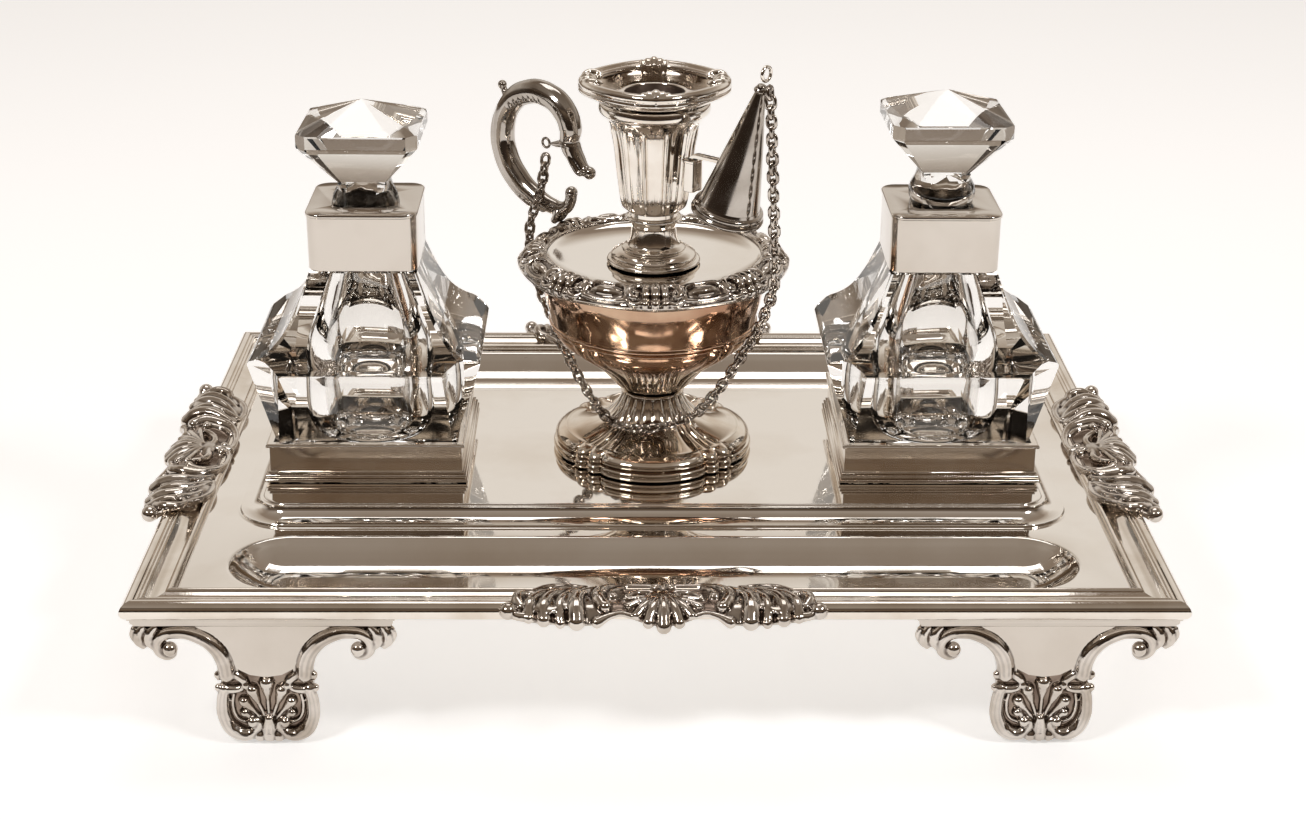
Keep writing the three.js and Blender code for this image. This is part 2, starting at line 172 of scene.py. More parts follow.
def offsetRings(path, profile, centre=(0, 0), height=0):
    # profile is [distance outward from the path, height]
    return [[(centre[0] + x + out * dx, centre[1] + y + out * dy, z + height) for x, y, dx, dy in path]
            for out, z in profile]


def wireThrough(points, radii, resolution=3, steps=6, closed=False):
    # a round wire through given points, with its own thickness at each
    clearSelection()
    bpy.ops.curve.primitive_bezier_curve_add(location=(0, 0, 0))
    wire = bpy.context.object
    wire.data.dimensions = "3D"
    spline = wire.data.splines[0]
    spline.bezier_points.add(len(points) - 2)
    spline.use_cyclic_u = closed
    for knot, spot, radius in zip(spline.bezier_points, points, radii):
        knot.co = Vector(spot) * mm
        knot.handle_left_type = knot.handle_right_type = "AUTO"
        knot.radius = radius
    wire.data.resolution_u = steps
    wire.data.bevel_depth = mm
    wire.data.bevel_resolution = resolution
    wire.data.use_fill_caps = not closed
    bpy.ops.object.convert(target="MESH")
    return bpy.context.object


def bead(spot, radius, squash=(1, 1, 1)):
    clearSelection()
    bpy.ops.mesh.primitive_uv_sphere_add(segments=16, ring_count=10, radius=radius * mm, location=(0, 0, 0))
    for vert in bpy.context.object.data.vertices:
        vert.co = Vector(spot) * mm + Vector([c * s for c, s in zip(vert.co, squash)])
    return bpy.context.object


def joinPieces(name, parts):
    pick(*parts)
    if len(parts) > 1:
        bpy.ops.object.join()
    whole = bpy.context.object
    whole.name = whole.data.name = name
    bpy.ops.object.transform_apply(location=True, rotation=True, scale=True)
    return whole


def fuseCasting(name, parts, grain, melt=4):
    # separate strokes melt into one casting
    casting = joinPieces(name, parts)
    remesh = casting.modifiers.new("cast", "REMESH")
    remesh.mode = "VOXEL"
    remesh.voxel_size = grain * mm
    bpy.ops.object.modifier_apply(modifier=remesh.name)
    soften = casting.modifiers.new("melt", "SMOOTH")
    soften.factor = 0.5
    soften.iterations = melt
    bpy.ops.object.modifier_apply(modifier=soften.name)
    bpy.ops.object.shade_smooth()
    return casting


def stroke(points, radii):
    # one raised stroke of a casting, with round ends
    ends = [bead(points[end], radii[end] * 0.98) for end in (0, -1)]
    return [wireThrough(points, radii), *ends]


def thicken(piece, thickness):
    # the active piece gets its wall on the inner side
    wall = piece.modifiers.new("sheet", "SOLIDIFY")
    wall.thickness = thickness * mm
    wall.offset = -1
    bpy.ops.object.modifier_apply(modifier=wall.name)


def shapedSheet(columns, rows, spotFor, thickness):
    # a grid whose places run from -1 to 1 both ways, moved to the wanted surface
    clearSelection()
    bpy.ops.mesh.primitive_grid_add(x_subdivisions=columns, y_subdivisions=rows, size=2, location=(0, 0, 0))
    sheet = bpy.context.object
    for vert in sheet.data.vertices:
        vert.co = Vector(spotFor(vert.co.x, vert.co.y)) * mm
    thicken(sheet, thickness)
    return sheet


def readTable(table, where):
    # straight-line reading between the rows of a table
    where = min(max(where, table[0][0]), table[-1][0])
    for low, high in zip(table, table[1:]):
        if where <= high[0]:
            share = (where - low[0]) / (high[0] - low[0])
            return [a + (b - a) * share for a, b in zip(low[1:], high[1:])]


def ringAngles(count):
    return [i * math.pi / (count / 2) for i in range(count)]


def wireEye(name, spots, thickness, resolution=3):
    # a closed ring of wire that is a piece of its own
    eye = wireThrough(spots, [thickness] * len(spots), resolution, closed=True)
    eye.name = eye.data.name = name
    pick(eye)
    bpy.ops.object.shade_smooth()
    return eye


def movedCopy(piece, name, move):
    clearSelection()
    twin = piece.copy()
    twin.data = piece.data.copy()
    bpy.context.collection.objects.link(twin)
    twin.name = twin.data.name = name
    twin.data.transform(move)
    return twin


def settle(piece, body, slot, *nodes):
    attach(piece, body)
    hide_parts(*nodes)
    return piece


def addFinishes(piece, *finishes):
    for finish in finishes:
        piece.data.materials.append(finish)


def place(piece, body, slot, finish, *nodes):
    piece.data.materials.clear()
    addFinishes(piece, finish)
    return settle(piece, body, slot, *nodes)


# camera, with its spot in metres and its angles in degrees

view = {
    "spot": (-0.01154, -0.70944, 0.36645), "turn": 0.951, "down": 22.84, "roll": 0.458,
    "lens": 59.85, "sensor": 36,
}


def placeCamera():
    turn, down, roll = (math.radians(view[key]) for key in ("turn", "down", "roll"))
    ahead = Vector((math.sin(turn) * math.cos(down), math.cos(turn) * math.cos(down), -math.sin(down)))
    level = Vector((math.cos(turn), -math.sin(turn), 0))
    rise = level.cross(ahead)
    right = math.cos(roll) * level + math.sin(roll) * rise
    up = math.cos(roll) * rise - math.sin(roll) * level
    bpy.ops.object.camera_add(location=view["spot"])
    camera = bpy.context.object
    camera.name = "deskCamera"
    camera.data.lens = view["lens"]
    camera.data.sensor_width = view["sensor"]
    camera.data.clip_start = 0.01
    facing = Matrix((right, up, -ahead)).transposed().to_4x4()
    camera.matrix_world = Matrix.Translation(view["spot"]) @ facing
    bpy.context.scene.camera = camera


placeCamera()
print("camera set")


# chain: a free cord of separate links

chainLinks = {
    "route": [
        (-37.7, 31.7, 97.6), (-38.4, 30.4, 92), (-40, 28.4, 84), (-42.8, 26.4, 76), (-43.6, 24.8, 70),
        (-42.6, 21, 61), (-40.2, 17.2, 53), (-36.4, 13.8, 45), (-32.6, 10.2, 35.5), (-27.4, 5.9, 26),
        (-22.4, 0.6, 19), (-17.5, -6.5, 14.6), (-11, -15.2, 13.4), (-1, -18.8, 14), (9.2, -20.6, 17.5),
        (16, -21.9, 22.3), (23.3, -23.7, 32.4), (30.8, -25.5, 45.9), (35.8, -27.6, 57), (38.6, -29.6, 66),
        (39.6, -30.6, 74), (39, -31.4, 90), (37.9, -32.4, 110), (36.9, -32.6, 128), (36.1, -31.4, 138.4)],
    "wire": 0.72, "width": 4.4, "linkLength": 5.7, "pitch": 3.1,
}


# finishes

def newFinish(name):
    finish = bpy.data.materials.new(name)
    finish.use_nodes = True
    nodes = finish.node_tree.nodes
    shader = nodes["Principled BSDF"]
    return finish, nodes, finish.node_tree.links, shader


def patchyNoise(nodes, links, scale, detail, stretch=(1, 1, 1)):
    coordinates = nodes.new("ShaderNodeTexCoord")
    mapping = nodes.new("ShaderNodeMapping")
    mapping.inputs["Scale"].default_value = stretch
    noise = nodes.new("ShaderNodeTexNoise")
    noise.inputs["Scale"].default_value = scale
    noise.inputs["Detail"].default_value = detail
    links.new(coordinates.outputs["Object"], mapping.inputs["Vector"])
    links.new(mapping.outputs["Vector"], noise.inputs["Vector"])
    return noise.outputs["Fac"]


def rampBetween(nodes, links, source, stops):
    ramp = nodes.new("ShaderNodeValToRGB")
    ramp.color_ramp.elements[0].position = stops[0][0]
    ramp.color_ramp.elements[0].color = (*stops[0][1], 1)
    ramp.color_ramp.elements[1].position = stops[-1][0]
    ramp.color_ramp.elements[1].color = (*stops[-1][1], 1)
    for position, colour in stops[1:-1]:
        ramp.color_ramp.elements.new(position).color = (*colour, 1)
    links.new(source, ramp.inputs["Fac"])
    return ramp.outputs["Color"]


def spreadNode(nodes, links, source, low, high, first=0, last=1):
    # source between low and high becomes first to last
    spread = nodes.new("ShaderNodeMapRange")
    for key, value in (("From Min", low), ("From Max", high), ("To Min", first), ("To Max", last)):
        spread.inputs[key].default_value = value
    links.new(source, spread.inputs["Value"])
    return spread.outputs["Result"]


def silverFinish(name, bright, tarnish, patch=28, low=0.42, high=0.7, rough=(0.04, 0.14), scratch=0.02,
                 recess=None):
    finish, nodes, links, shader = newFinish(name)
    shader.inputs["Metallic"].default_value = 1
    patches = patchyNoise(nodes, links, patch, 5)
    colour = rampBetween(nodes, links, patches, [(low, bright), (high, tarnish)])
    if recess:
        geometry = nodes.new("ShaderNodeNewGeometry")
        hollow = rampBetween(nodes, links, geometry.outputs["Pointiness"],
                             [(recess["deep"], recess["dark"]), (recess["open"], (1, 1, 1))])
        darken = nodes.new("ShaderNodeMix")
        darken.data_type = "RGBA"
        darken.blend_type = "MULTIPLY"
        darken.inputs["Factor"].default_value = 1
        links.new(colour, darken.inputs["A"])
        links.new(hollow, darken.inputs["B"])
        colour = darken.outputs["Result"]
    links.new(colour, shader.inputs["Base Color"])
    haze = spreadNode(nodes, links, patchyNoise(nodes, links, 120, 6), 0.35, 0.75, *rough)
    links.new(haze, shader.inputs["Roughness"])
    hairlines = patchyNoise(nodes, links, 900, 3, (1, 0.12, 1))
    bump = nodes.new("ShaderNodeBump")
    bump.inputs["Strength"].default_value = scratch
    bump.inputs["Distance"].default_value = 0.0002
    links.new(hairlines, bump.inputs["Height"])
    links.new(bump.outputs["Normal"], shader.inputs["Normal"])
    return finish


def glassFinish(name):
    finish, nodes, links, shader = newFinish(name)
    shader.inputs["Transmission Weight"].default_value = 1
    shader.inputs["IOR"].default_value = 1.43
    tint = rampBetween(nodes, links, patchyNoise(nodes, links, 30, 2),
                       [(0.3, (0.965, 0.955, 0.94)), (0.7, (0.93, 0.92, 0.905))])
    links.new(tint, shader.inputs["Base Color"])
    smear = spreadNode(nodes, links, patchyNoise(nodes, links, 90, 4), 0.4, 0.8, 0, 0.03)
    links.new(smear, shader.inputs["Roughness"])
    return finish


traySilver = silverFinish("traySilver", (0.88, 0.845, 0.80), (0.78, 0.72, 0.65),
                          22, 0.45, 0.75, (0.03, 0.1))
borderSilver = silverFinish("borderSilver", (0.80, 0.745, 0.68), (0.64, 0.56, 0.47),
                            40, 0.45, 0.72, (0.05, 0.13))
castSilver = silverFinish("castSilver", (0.66, 0.61, 0.56), (0.46, 0.40, 0.34),
                          90, 0.42, 0.68, (0.08, 0.2), 0.03,
                          {"deep": 0.46, "dark": (0.10, 0.07, 0.055), "open": 0.512})
# a dimmed silver for the collars and the foot panels and cornices: its low tone is a painted darker reflection,
# standing in for a greyer table than the pale floor
footSilver = silverFinish("footSilver", (0.62, 0.57, 0.515), (0.54, 0.485, 0.425),
                          30, 0.4, 0.75, (0.07, 0.15))
stickSilver = silverFinish("stickSilver", (0.80, 0.75, 0.69), (0.62, 0.54, 0.46),
                           60, 0.45, 0.72, (0.05, 0.14))
potSilver = silverFinish("potSilver", (0.80, 0.74, 0.66), (0.62, 0.50, 0.38),
                         55, 0.42, 0.7, (0.05, 0.14), 0.02,
                         {"deep": 0.44, "dark": (0.25, 0.17, 0.12), "open": 0.5})
copperTone = silverFinish("copperTone", (0.54, 0.375, 0.26), (0.36, 0.20, 0.125),
                          45, 0.40, 0.68, (0.08, 0.18))
# a darker copy of the silver for the handle and the snuffer cone: painted shade, standing in for the dark room
# that these parts reflect
shadedSilver = silverFinish("shadedSilver", (0.48, 0.44, 0.40), (0.33, 0.29, 0.25),
                           70, 0.42, 0.7, (0.06, 0.16))
recessSilver = silverFinish("recessSilver", (0.30, 0.24, 0.195), (0.17, 0.125, 0.10),
                            120, 0.4, 0.66, (0.16, 0.3))
chainSilver = silverFinish("chainSilver", (0.56, 0.51, 0.46), (0.28, 0.235, 0.20),
                           200, 0.4, 0.65, (0.08, 0.18))
brassFinish = silverFinish("brassFinish", (0.80, 0.62, 0.36), (0.50, 0.36, 0.2),
                           120, 0.4, 0.7, (0.2, 0.35))
sootFinish = silverFinish("sootFinish", (0.16, 0.12, 0.10), (0.07, 0.05, 0.04),
                          150, 0.4, 0.7, (0.35, 0.6))
cutGlass = glassFinish("cutGlass")
print("finishes made")


def routeOfChain():
    return [(x, y, z + platformTop) for x, y, z in smoothLine(chainLinks["route"], 12)]


def makeChain():
    route = routeOfChain()
    reach = [0]
    for before, after in zip(route, route[1:]):
        reach.append(reach[-1] + math.dist(before, after))
    total = reach[-1]
    count = round((total - 1) / chainLinks["pitch"])
    clearSelection()
    bpy.ops.mesh.primitive_torus_add(major_segments=14, minor_segments=6, location=(0, 0, 0),
                                     major_radius=(chainLinks["width"] / 2 - chainLinks["wire"]) * mm,
                                     minor_radius=chainLinks["wire"] * mm)
    link = bpy.context.object
    stretch = (chainLinks["linkLength"] - chainLinks["width"]) / 2 * mm
    for vert in link.data.vertices:
        vert.co.x += math.copysign(min(abs(vert.co.x) / (0.6 * mm), 1), vert.co.x) * stretch
    links = []
    for number in range(count):
        along = 0.5 + (total - 1) * (number + 0.5) / count
        spot = max(i for i, far in enumerate(reach) if far <= along)
        spot = min(spot, len(route) - 2)
        start, stop = Vector(route[spot]), Vector(route[spot + 1])
        share = (along - reach[spot]) / (reach[spot + 1] - reach[spot])
        forward = (stop - start).normalized()
        side = forward.cross(Vector((0.35, -0.9, 0.3))).normalized()
        top = forward.cross(side)
        twist = Matrix.Rotation(math.radians(45 + 90 * (number % 2) + 9 * math.sin(number * 2.3)), 4, "X")
        stand = Matrix((forward, side, top)).transposed().to_4x4()
        copy = link.copy()
        copy.data = link.data.copy()
        bpy.context.collection.objects.link(copy)
        copy.data.transform(Matrix.Translation(start.lerp(stop, share) * mm) @ stand @ twist)
        links.append(copy)
    bpy.data.objects.remove(link)
    chain = joinPieces("snufferChain", links)
    pick(chain)
    bpy.ops.object.shade_smooth()
    addFinishes(chain, chainSilver)
    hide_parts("chain")
    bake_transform(chain)
    print("chain of", count, "links,", round(total), "mm")


makeChain()


# tray

tray = {
    "floor": 49.5, "platformHalf": (140, 58.5), "platformCorner": 17,
    "platformEdge": softProfile(
        [(0.9, 0), (0.2, 0)], [(0.2, 0), (-0.15, 0.2), (-0.2, 0.7), (-0.4, 1.0)],
        [(-0.9, 1.0), (-2.6, 1.15), (-4.3, 1.6), (-5.7, 2.4), (-6.6, 3.4), (-6.9, 4.3)],
        [(-7.3, 4.3), (-7.9, 4.35), (-8.25, 4.6), (-8.4, 4.9), (-8.8, 5.0), (-9.6, 5.0)]),
    "troughHalf": (137, 18.5), "troughY": 83.5, "troughDepth": 7.8, "troughFlat": 4.2, "slopeSteps": 14,
    "troughLip": [(0.9, 0), (0.3, -0.02), (-0.2, -0.14), (-0.6, -0.4)],
    "sheet": 1.3, "underBorder": 15.3,
}


def makeTrayPlate():
    floor = tray["floor"]
    platformPath = roundedPath(*tray["platformHalf"], tray["platformCorner"], 14)
    platformRings = offsetRings(platformPath, tray["platformEdge"], height=floor)
    parts = [loftRings("platform", platformRings, capLast=True)]
    lip = list(tray["troughLip"])
    lipReach, lipDrop = -lip[-1][0], -lip[-1][1]
    span = tray["troughHalf"][1] - tray["troughFlat"]
    for step in range(1, tray["slopeSteps"] + 1):
        out = -lipReach - (span - lipReach) * step / tray["slopeSteps"]
        slope = math.cos(math.pi / 2 * (1 - (-out - lipDrop) / (span - lipDrop)))
        lip.append((out, -lipDrop - (tray["troughDepth"] - lipDrop) * slope ** 0.9))
    troughPath = roundedPath(*tray["troughHalf"], tray["troughHalf"][1], 18)
    for side in (-1, 1):
        rings = offsetRings(troughPath, lip, (0, side * tray["troughY"]), floor)
        parts.append(loftRings("trough", rings, capLast=True))
    halfX, halfY = (half - tray["underBorder"] for half in (trayHalfLength, trayHalfDepth))
    clearSelection()
    bpy.ops.mesh.primitive_plane_add(size=2, location=(0, 0, floor * mm))
    edge = bpy.context.object
    edge.data.transform(Matrix.Diagonal((halfX * mm, halfY * mm, 1, 1)))
    bpy.ops.object.transform_apply(location=True, rotation=True, scale=True)
    editWhole()
    bpy.ops.mesh.delete(type="ONLY_FACE")
    bpy.ops.object.mode_set(mode="OBJECT")
    plate = joinPieces("trayPlate", [*parts, edge])
    bpy.ops.object.mode_set(mode="EDIT")
    bpy.ops.mesh.select_mode(type="EDGE")
    bpy.ops.mesh.select_all(action="DESELECT")
    edit = bmesh.from_edit_mesh(plate.data)
    for line in edit.edges:
        onFloor = all(abs(vert.co.z - floor * mm) < 1e-6 for vert in line.verts)
        line.select = onFloor and len(line.link_faces) < 2
    bmesh.update_edit_mesh(plate.data)
    bpy.ops.mesh.fill(use_beauty=True)
    bpy.ops.mesh.select_mode(type="VERT")
    bpy.ops.mesh.select_all(action="SELECT")
    bpy.ops.mesh.remove_doubles(threshold=0.002 * mm)
    bpy.ops.mesh.normals_make_consistent(inside=False)
    bpy.ops.object.mode_set(mode="OBJECT")
    top = max(plate.data.polygons, key=lambda face: face.area)
    if top.normal.z < 0:
        editWhole()
        bpy.ops.mesh.flip_normals()
        bpy.ops.object.mode_set(mode="OBJECT")
    thicken(plate, tray["sheet"])
    smoothByAngle(plate, 35)
    place(plate, "tray", "polished_silver", traySilver, "tray_plate")
    print("tray plate done")


def arcPoints(centre, radius, first, last, count):
    return [(centre[0] + radius * math.cos(math.radians(first + (last - first) * i / count)),
             centre[1] + radius * math.sin(math.radians(first + (last - first) * i / count)))
            for i in range(count + 1)]


# the moulding, as [distance in from the outer edge, height]
borderMoulding = [
    (15, 47.0), (15, 49.9), (14.7, 50.3), *arcPoints((13.4, 50.6), 1.1, -10, 190, 14), (12.1, 50.45),
    *[(12.0 - 5.6 * i / 14, 50.9 - 0.85 * math.sin(math.pi * i / 14) + 0.55 * i / 14) for i in range(15)],
    (6.3, 51.75), *arcPoints((5.7, 51.7), 0.55, 0, 180, 8),
    (5.05, 51.75), *arcPoints((4.55, 51.85), 0.5, 0, 150, 6),
    *arcPoints((3.1, 49.55), 3.1, 78, 235, 26), (1.7, 46.9), (3, 47.0),
]

# name, turn from the front, half length of the side, its distance from the middle
traySides = [
    ("front", 0, trayHalfLength, trayHalfDepth), ("right", 90, trayHalfDepth, trayHalfLength),
    ("back", 180, trayHalfLength, trayHalfDepth), ("left", 270, trayHalfDepth, trayHalfLength),
]


def makeBorder():
    jointGap = 0.04
    for name, degrees, halfLength, edge in traySides:
        ends = [[(end * (halfLength - inward - jointGap), inward - edge, z) for inward, z in borderMoulding]
                for end in (-1, 1)]
        bar = loftRings("borderBar" + name.capitalize(), ends, True, True, 30)
        bar.data.transform(Matrix.Rotation(math.radians(degrees), 4, "Z"))
        place(bar, "tray", "polished_silver", borderSilver, "border_" + name)
    print("border done")


makeTrayPlate()
makeBorder()


# galleries, bottles, collars and stoppers

gallery = {
    "half": 33, "height": 14.8,
    "moulding": [
        (-1.7, 0.35), (1.0, 0.35), *arcPoints((0.9, 1.1), 0.62, -70, 80, 6), (0.7, 1.85),
        *arcPoints((0.45, 2.55), 0.6, -70, 80, 6), (0.25, 3.3), *arcPoints((0.0, 3.85), 0.42, -70, 80, 5),
        (-0.35, 4.4), (-0.4, 12.6), (-0.1, 12.8), *arcPoints((0.0, 13.55), 0.72, -70, 110, 9), (-1.0, 14.3),
        (-1.7, 14.2), (-1.7, 0.35)],
}


def makeGallery(side, name):
    path = framePath(gallery["half"], gallery["half"])
    rings = offsetRings(path, gallery["moulding"], (side * bottleX, 0), platformTop)
    piece = loftRings("gallery" + name.capitalize(), rings, smoothAngle=40)
    place(piece, "tray", "polished_silver", borderSilver, "gallery_" + name)


def cutSquare(cut, perSide=7):
    # unit outline of a square with cut corners, with extra points on each side
    corners = []
    for turn in range(4):
        c, s = (round(math.cos(turn * math.pi / 2)), round(math.sin(turn * math.pi / 2)))
        for x, y in ((1, -cut), (1, cut)):
            corners.append((x * c - y * s, x * s + y * c))
    outline = []
    for (x, y), (x2, y2) in zip(corners, corners[1:] + corners[:1]):
        outline += [(x + (x2 - x) * i / perSide, y + (y2 - y) * i / perSide) for i in range(perSide)]
    return outline


def shapedRings(profile, cornerReach, perSide, centre, height, turn=0):
    # a profile row is [half width, height], with "round" added for a circle
    # cornerReach is x + y on the upright plane that cuts each corner
    rings = []
    for row in profile:
        ring = []
        outline = cutSquare(max(0.4, min(0.955, (cornerReach - row[0]) / row[0])), perSide)
        for x, y in outline:
            if len(row) == 3:
                length = math.hypot(x, y)
                x, y = x / length, y / length
            angle = math.radians(turn)
            px, py = x * math.cos(angle) - y * math.sin(angle), x * math.sin(angle) + y * math.cos(angle)
            ring.append((centre[0] + px * row[0], centre[1] + py * row[0], row[1] + height))
        rings.append(ring)
    return rings


bottle = {
    "cornerReach": 66.5,
    "outside": [(29.6, 0.5), (30.6, 1.3), (30.8, 15.2), (39.2, 40.6), (39.2, 41.4),
                *softProfile([(38.2, 42.6), (32.0, 46.2), (26.6, 51.6), (22.3, 59.5), (18.2, 70.4)],
                             steps=5),
                (16.9, 70.6), (16.9, 89.2), (16.2, 89.4)],
    "cavity": softProfile([(12.6, 89.4), (12.2, 80), (12.0, 72), (12.8, 66), (15.2, 58), (18.6, 48),
                           (21.2, 38), (22.0, 27), (21.6, 19), (19.2, 13), (13.6, 9.6), (6, 8.6)], steps=4),
}

collar = {"half": 18.5, "corner": 5.0, "low": 71, "high": 91, "wall": 1.2, "mouth": 12.6}

stopper = {
    "cornerReach": 36.6, "turn": 1, "rise": {"left": 0, "right": 4},
    "cut": [(0.03, 125.7), (19.9, 117.9), (20.1, 117.4), (20.1, 113.6), (19.8, 113.1),
            (8.2, 99.2), (8.2, 98.2)],
    "peg": [(9.6, 95.4), (10.9, 93.2), (11.4, 91.4), (11.3, 89.6), (10.7, 88.2), (10.6, 77), (9.8, 76)],
}


def roundRows(rows):
    return [(*row, "round") for row in rows]


def makeBottle(side, name, turn):
    centre = (side * bottleX, 0)
    profile = bottle["outside"] + roundRows(bottle["cavity"])
    rings = shapedRings(profile, bottle["cornerReach"], 8, centre, platformTop)
    glass = loftRings("inkBottle" + name.capitalize(), rings, True, True, 24)
    place(glass, "bottle_" + name, "cut_glass", cutGlass, "bottle_" + name)

    half, wall = collar["half"], collar["wall"]
    path = roundedPath(half, half, collar["corner"], 8)
    low, high = collar["low"], collar["high"]
    circle = [[collar["mouth"] * c / math.hypot(x, y) for c in (x, y)] for x, y, *_ in path]
    skirt = [(-wall, high - wall), (-wall, low), (-0.25, low), (0, low + 0.3), (0, high - 1.5),
             (0.15, high - 1.35), (0.35, high - 1.2), (0.4, high - 0.5), (0.3, high - 0.2), (0, high)]
    rings = offsetRings(path, skirt, centre, platformTop)
    for inset, height in ((0.35, 0), (0, -0.25), (0, -wall)):
        grow = 1 + inset / collar["mouth"]
        level = platformTop + high + height
        rings.append([(centre[0] + x * grow, centre[1] + y * grow, level) for x, y in circle])
    rings.append(rings[0])
    band = loftRings("collar" + name.capitalize(), rings, smoothAngle=38)
    # the collar takes the dimmed silver, whose low tone is a painted darker reflection
    place(band, "bottle_" + name, "polished_silver", footSilver, "collar_" + name)

    rise = platformTop + stopper["rise"][name]
    profile = stopper["cut"] + roundRows(stopper["peg"])
    rings = shapedRings(profile, stopper["cornerReach"], 6, centre, rise, turn)
    plug = loftRings("stopper" + name.capitalize(), rings, True, True, 20)
    place(plug, "stopper_" + name, "cut_glass", cutGlass, "stopper_" + name)


for sideName, side in (("left", -1), ("right", 1)):
    makeGallery(side, sideName)
    makeBottle(side, sideName, stopper["turn"] * side)
print("galleries, bottles, collars and stoppers done")


# wafer pot

def petalWave(angle, broad=34, quarter=90):
    # four broad lobes with a pair of narrow ribs between them, 0 in the creases and 1 on a lobe
    off = abs((math.degrees(angle) + 90 + quarter / 2) % quarter - quarter / 2)
    if off < broad:
        return math.cos(math.pi / 2 * off / broad) ** 0.28
    return 0.8 * math.sin(math.pi * (off - broad) / (quarter / 2 - broad)) ** 0.6


potFoot = {
    "profile": softProfile(
        [(30.5, 0.35), (33.2, 0.35)], [(33.2, 0.35), (34.3, 0.8), (34.6, 2.0), (34.2, 3.2), (33.2, 3.6)],
        [(33.0, 3.9), (33.3, 4.3)], [(33.3, 4.3), (33.9, 5.0), (33.5, 6.2), (32.2, 7.4), (30.2, 8.2)],
        [(29.8, 8.0), (27, 8.0), (22.0, 9.2), (17.6, 11.3), (14.4, 14.0), (12.2, 17.0), (10.9, 19.8),
         (10.5, 21.2)],
        [(10.9, 21.3), (11.2, 21.7), (10.9, 22.2), (9.6, 22.4), (4, 22.4)], steps=5),
    "petal": 3.2, "ribHeight": 2.2, "flutes": 18,
}
potBowl = {
    "profile": softProfile(
        [(5, 23.0), (9.2, 23.0), (10.6, 23.2)],
        [(10.8, 23.4), (12.8, 24.4), (15.0, 27.0), (18.6, 31.0), (24.4, 35.6), (30.4, 40.0), (33.2, 43.2),
         (34.0, 45.8)],
        [(34.3, 45.9), (35.1, 46.2), (35.3, 46.8), (34.8, 47.3)],
        [(35.0, 47.5), (35.9, 47.9), (36.0, 48.6), (35.6, 49.0)],
        [(35.7, 49.2), (36.3, 52.0), (37.2, 55.4), (37.9, 58.6), (38.3, 61.2), (38.3, 64), (38.1, 66.5)],
        [(37.2, 66.6), (36.9, 64)],
        [(36.9, 64), (36.4, 60), (34.8, 56), (33.6, 52), (33.0, 49), (31.0, 46.2), (26.6, 42), (20.4, 37.4),
         (14.8, 32.4), (11.2, 28.6), (6, 26.8)], steps=5),
    "petal": 2.1,
    # height, and the radius that parts the outside from the hollow
    "outerSide": [(23, 9), (27, 13.2), (31, 16.4), (35, 20.6), (40, 27.0), (46, 32), (49, 33.2)],
    "copperFrom": 36, "copperTo": 66,
}


def footWave(angle, radius, z):
    if z < 0.4 and radius < 32 or z > 21.2:
        return 0
    lobe = potFoot["petal"] * (petalWave(angle) - 0.85)
    if z < 8.3 and radius > 28:
        return lobe
    fade = max(0, min(1, (radius - 11) / 15))
    flutes = 0.75 * (abs(math.cos(angle * potFoot["flutes"] / 2)) ** 0.7 - 0.8) * (1 - fade) ** 2
    return lobe * fade * (radius / 29) + flutes


def footLift(angle, radius, z):
    # ribs and panels on the sloping top
    if z < 7.9 or z > 20 or radius > 31:
        return 0
    fade = min(1, (radius - 11) / 7, (31 - radius) / 3)
    return potFoot["ribHeight"] * (petalWave(angle) - 0.9) * max(0, fade)


def bowlWave(angle, radius, z):
    outside = readTable(potBowl["outerSide"], z)[0]
    if z < 23.3 or z > 49.1 or radius < outside:
        return 0
    fade = min(1, (z - 23.3) / 5) * min(1, 0.25 + max(0, 50 - z) / 14)
    return potBowl["petal"] * (petalWave(angle) - 0.7) * fade * min(1, radius / 22)


def makePot():
    rings = turnedRings(potFoot["profile"], 360, footWave, footLift)
    foot = loftRings("potFoot", rings, True, True, 40)
    place(foot, "tray", "pot_silver", potSilver, "pot_foot")
    rings = turnedRings(potBowl["profile"], 288, bowlWave)
    bowl = loftRings("potBowl", rings, True, True, 38)
    place(bowl, "tray", "pot_silver", potSilver, "pot_bowl")
    addFinishes(bowl, copperTone)
    for face in bowl.data.polygons:
        height = face.center.z / mm - platformTop
        facesOut = face.normal.to_2d().dot(face.center.to_2d()) > 0
        if potBowl["copperFrom"] < height < potBowl["copperTo"] and facesOut:
            face.material_index = 1
    for node in ("pot_stud", "pot_nut"):
        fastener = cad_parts[node]
        fastener.data.materials.clear()
        addFinishes(fastener, brassFinish)
    print("wafer pot done")


makePot()


# chamberstick

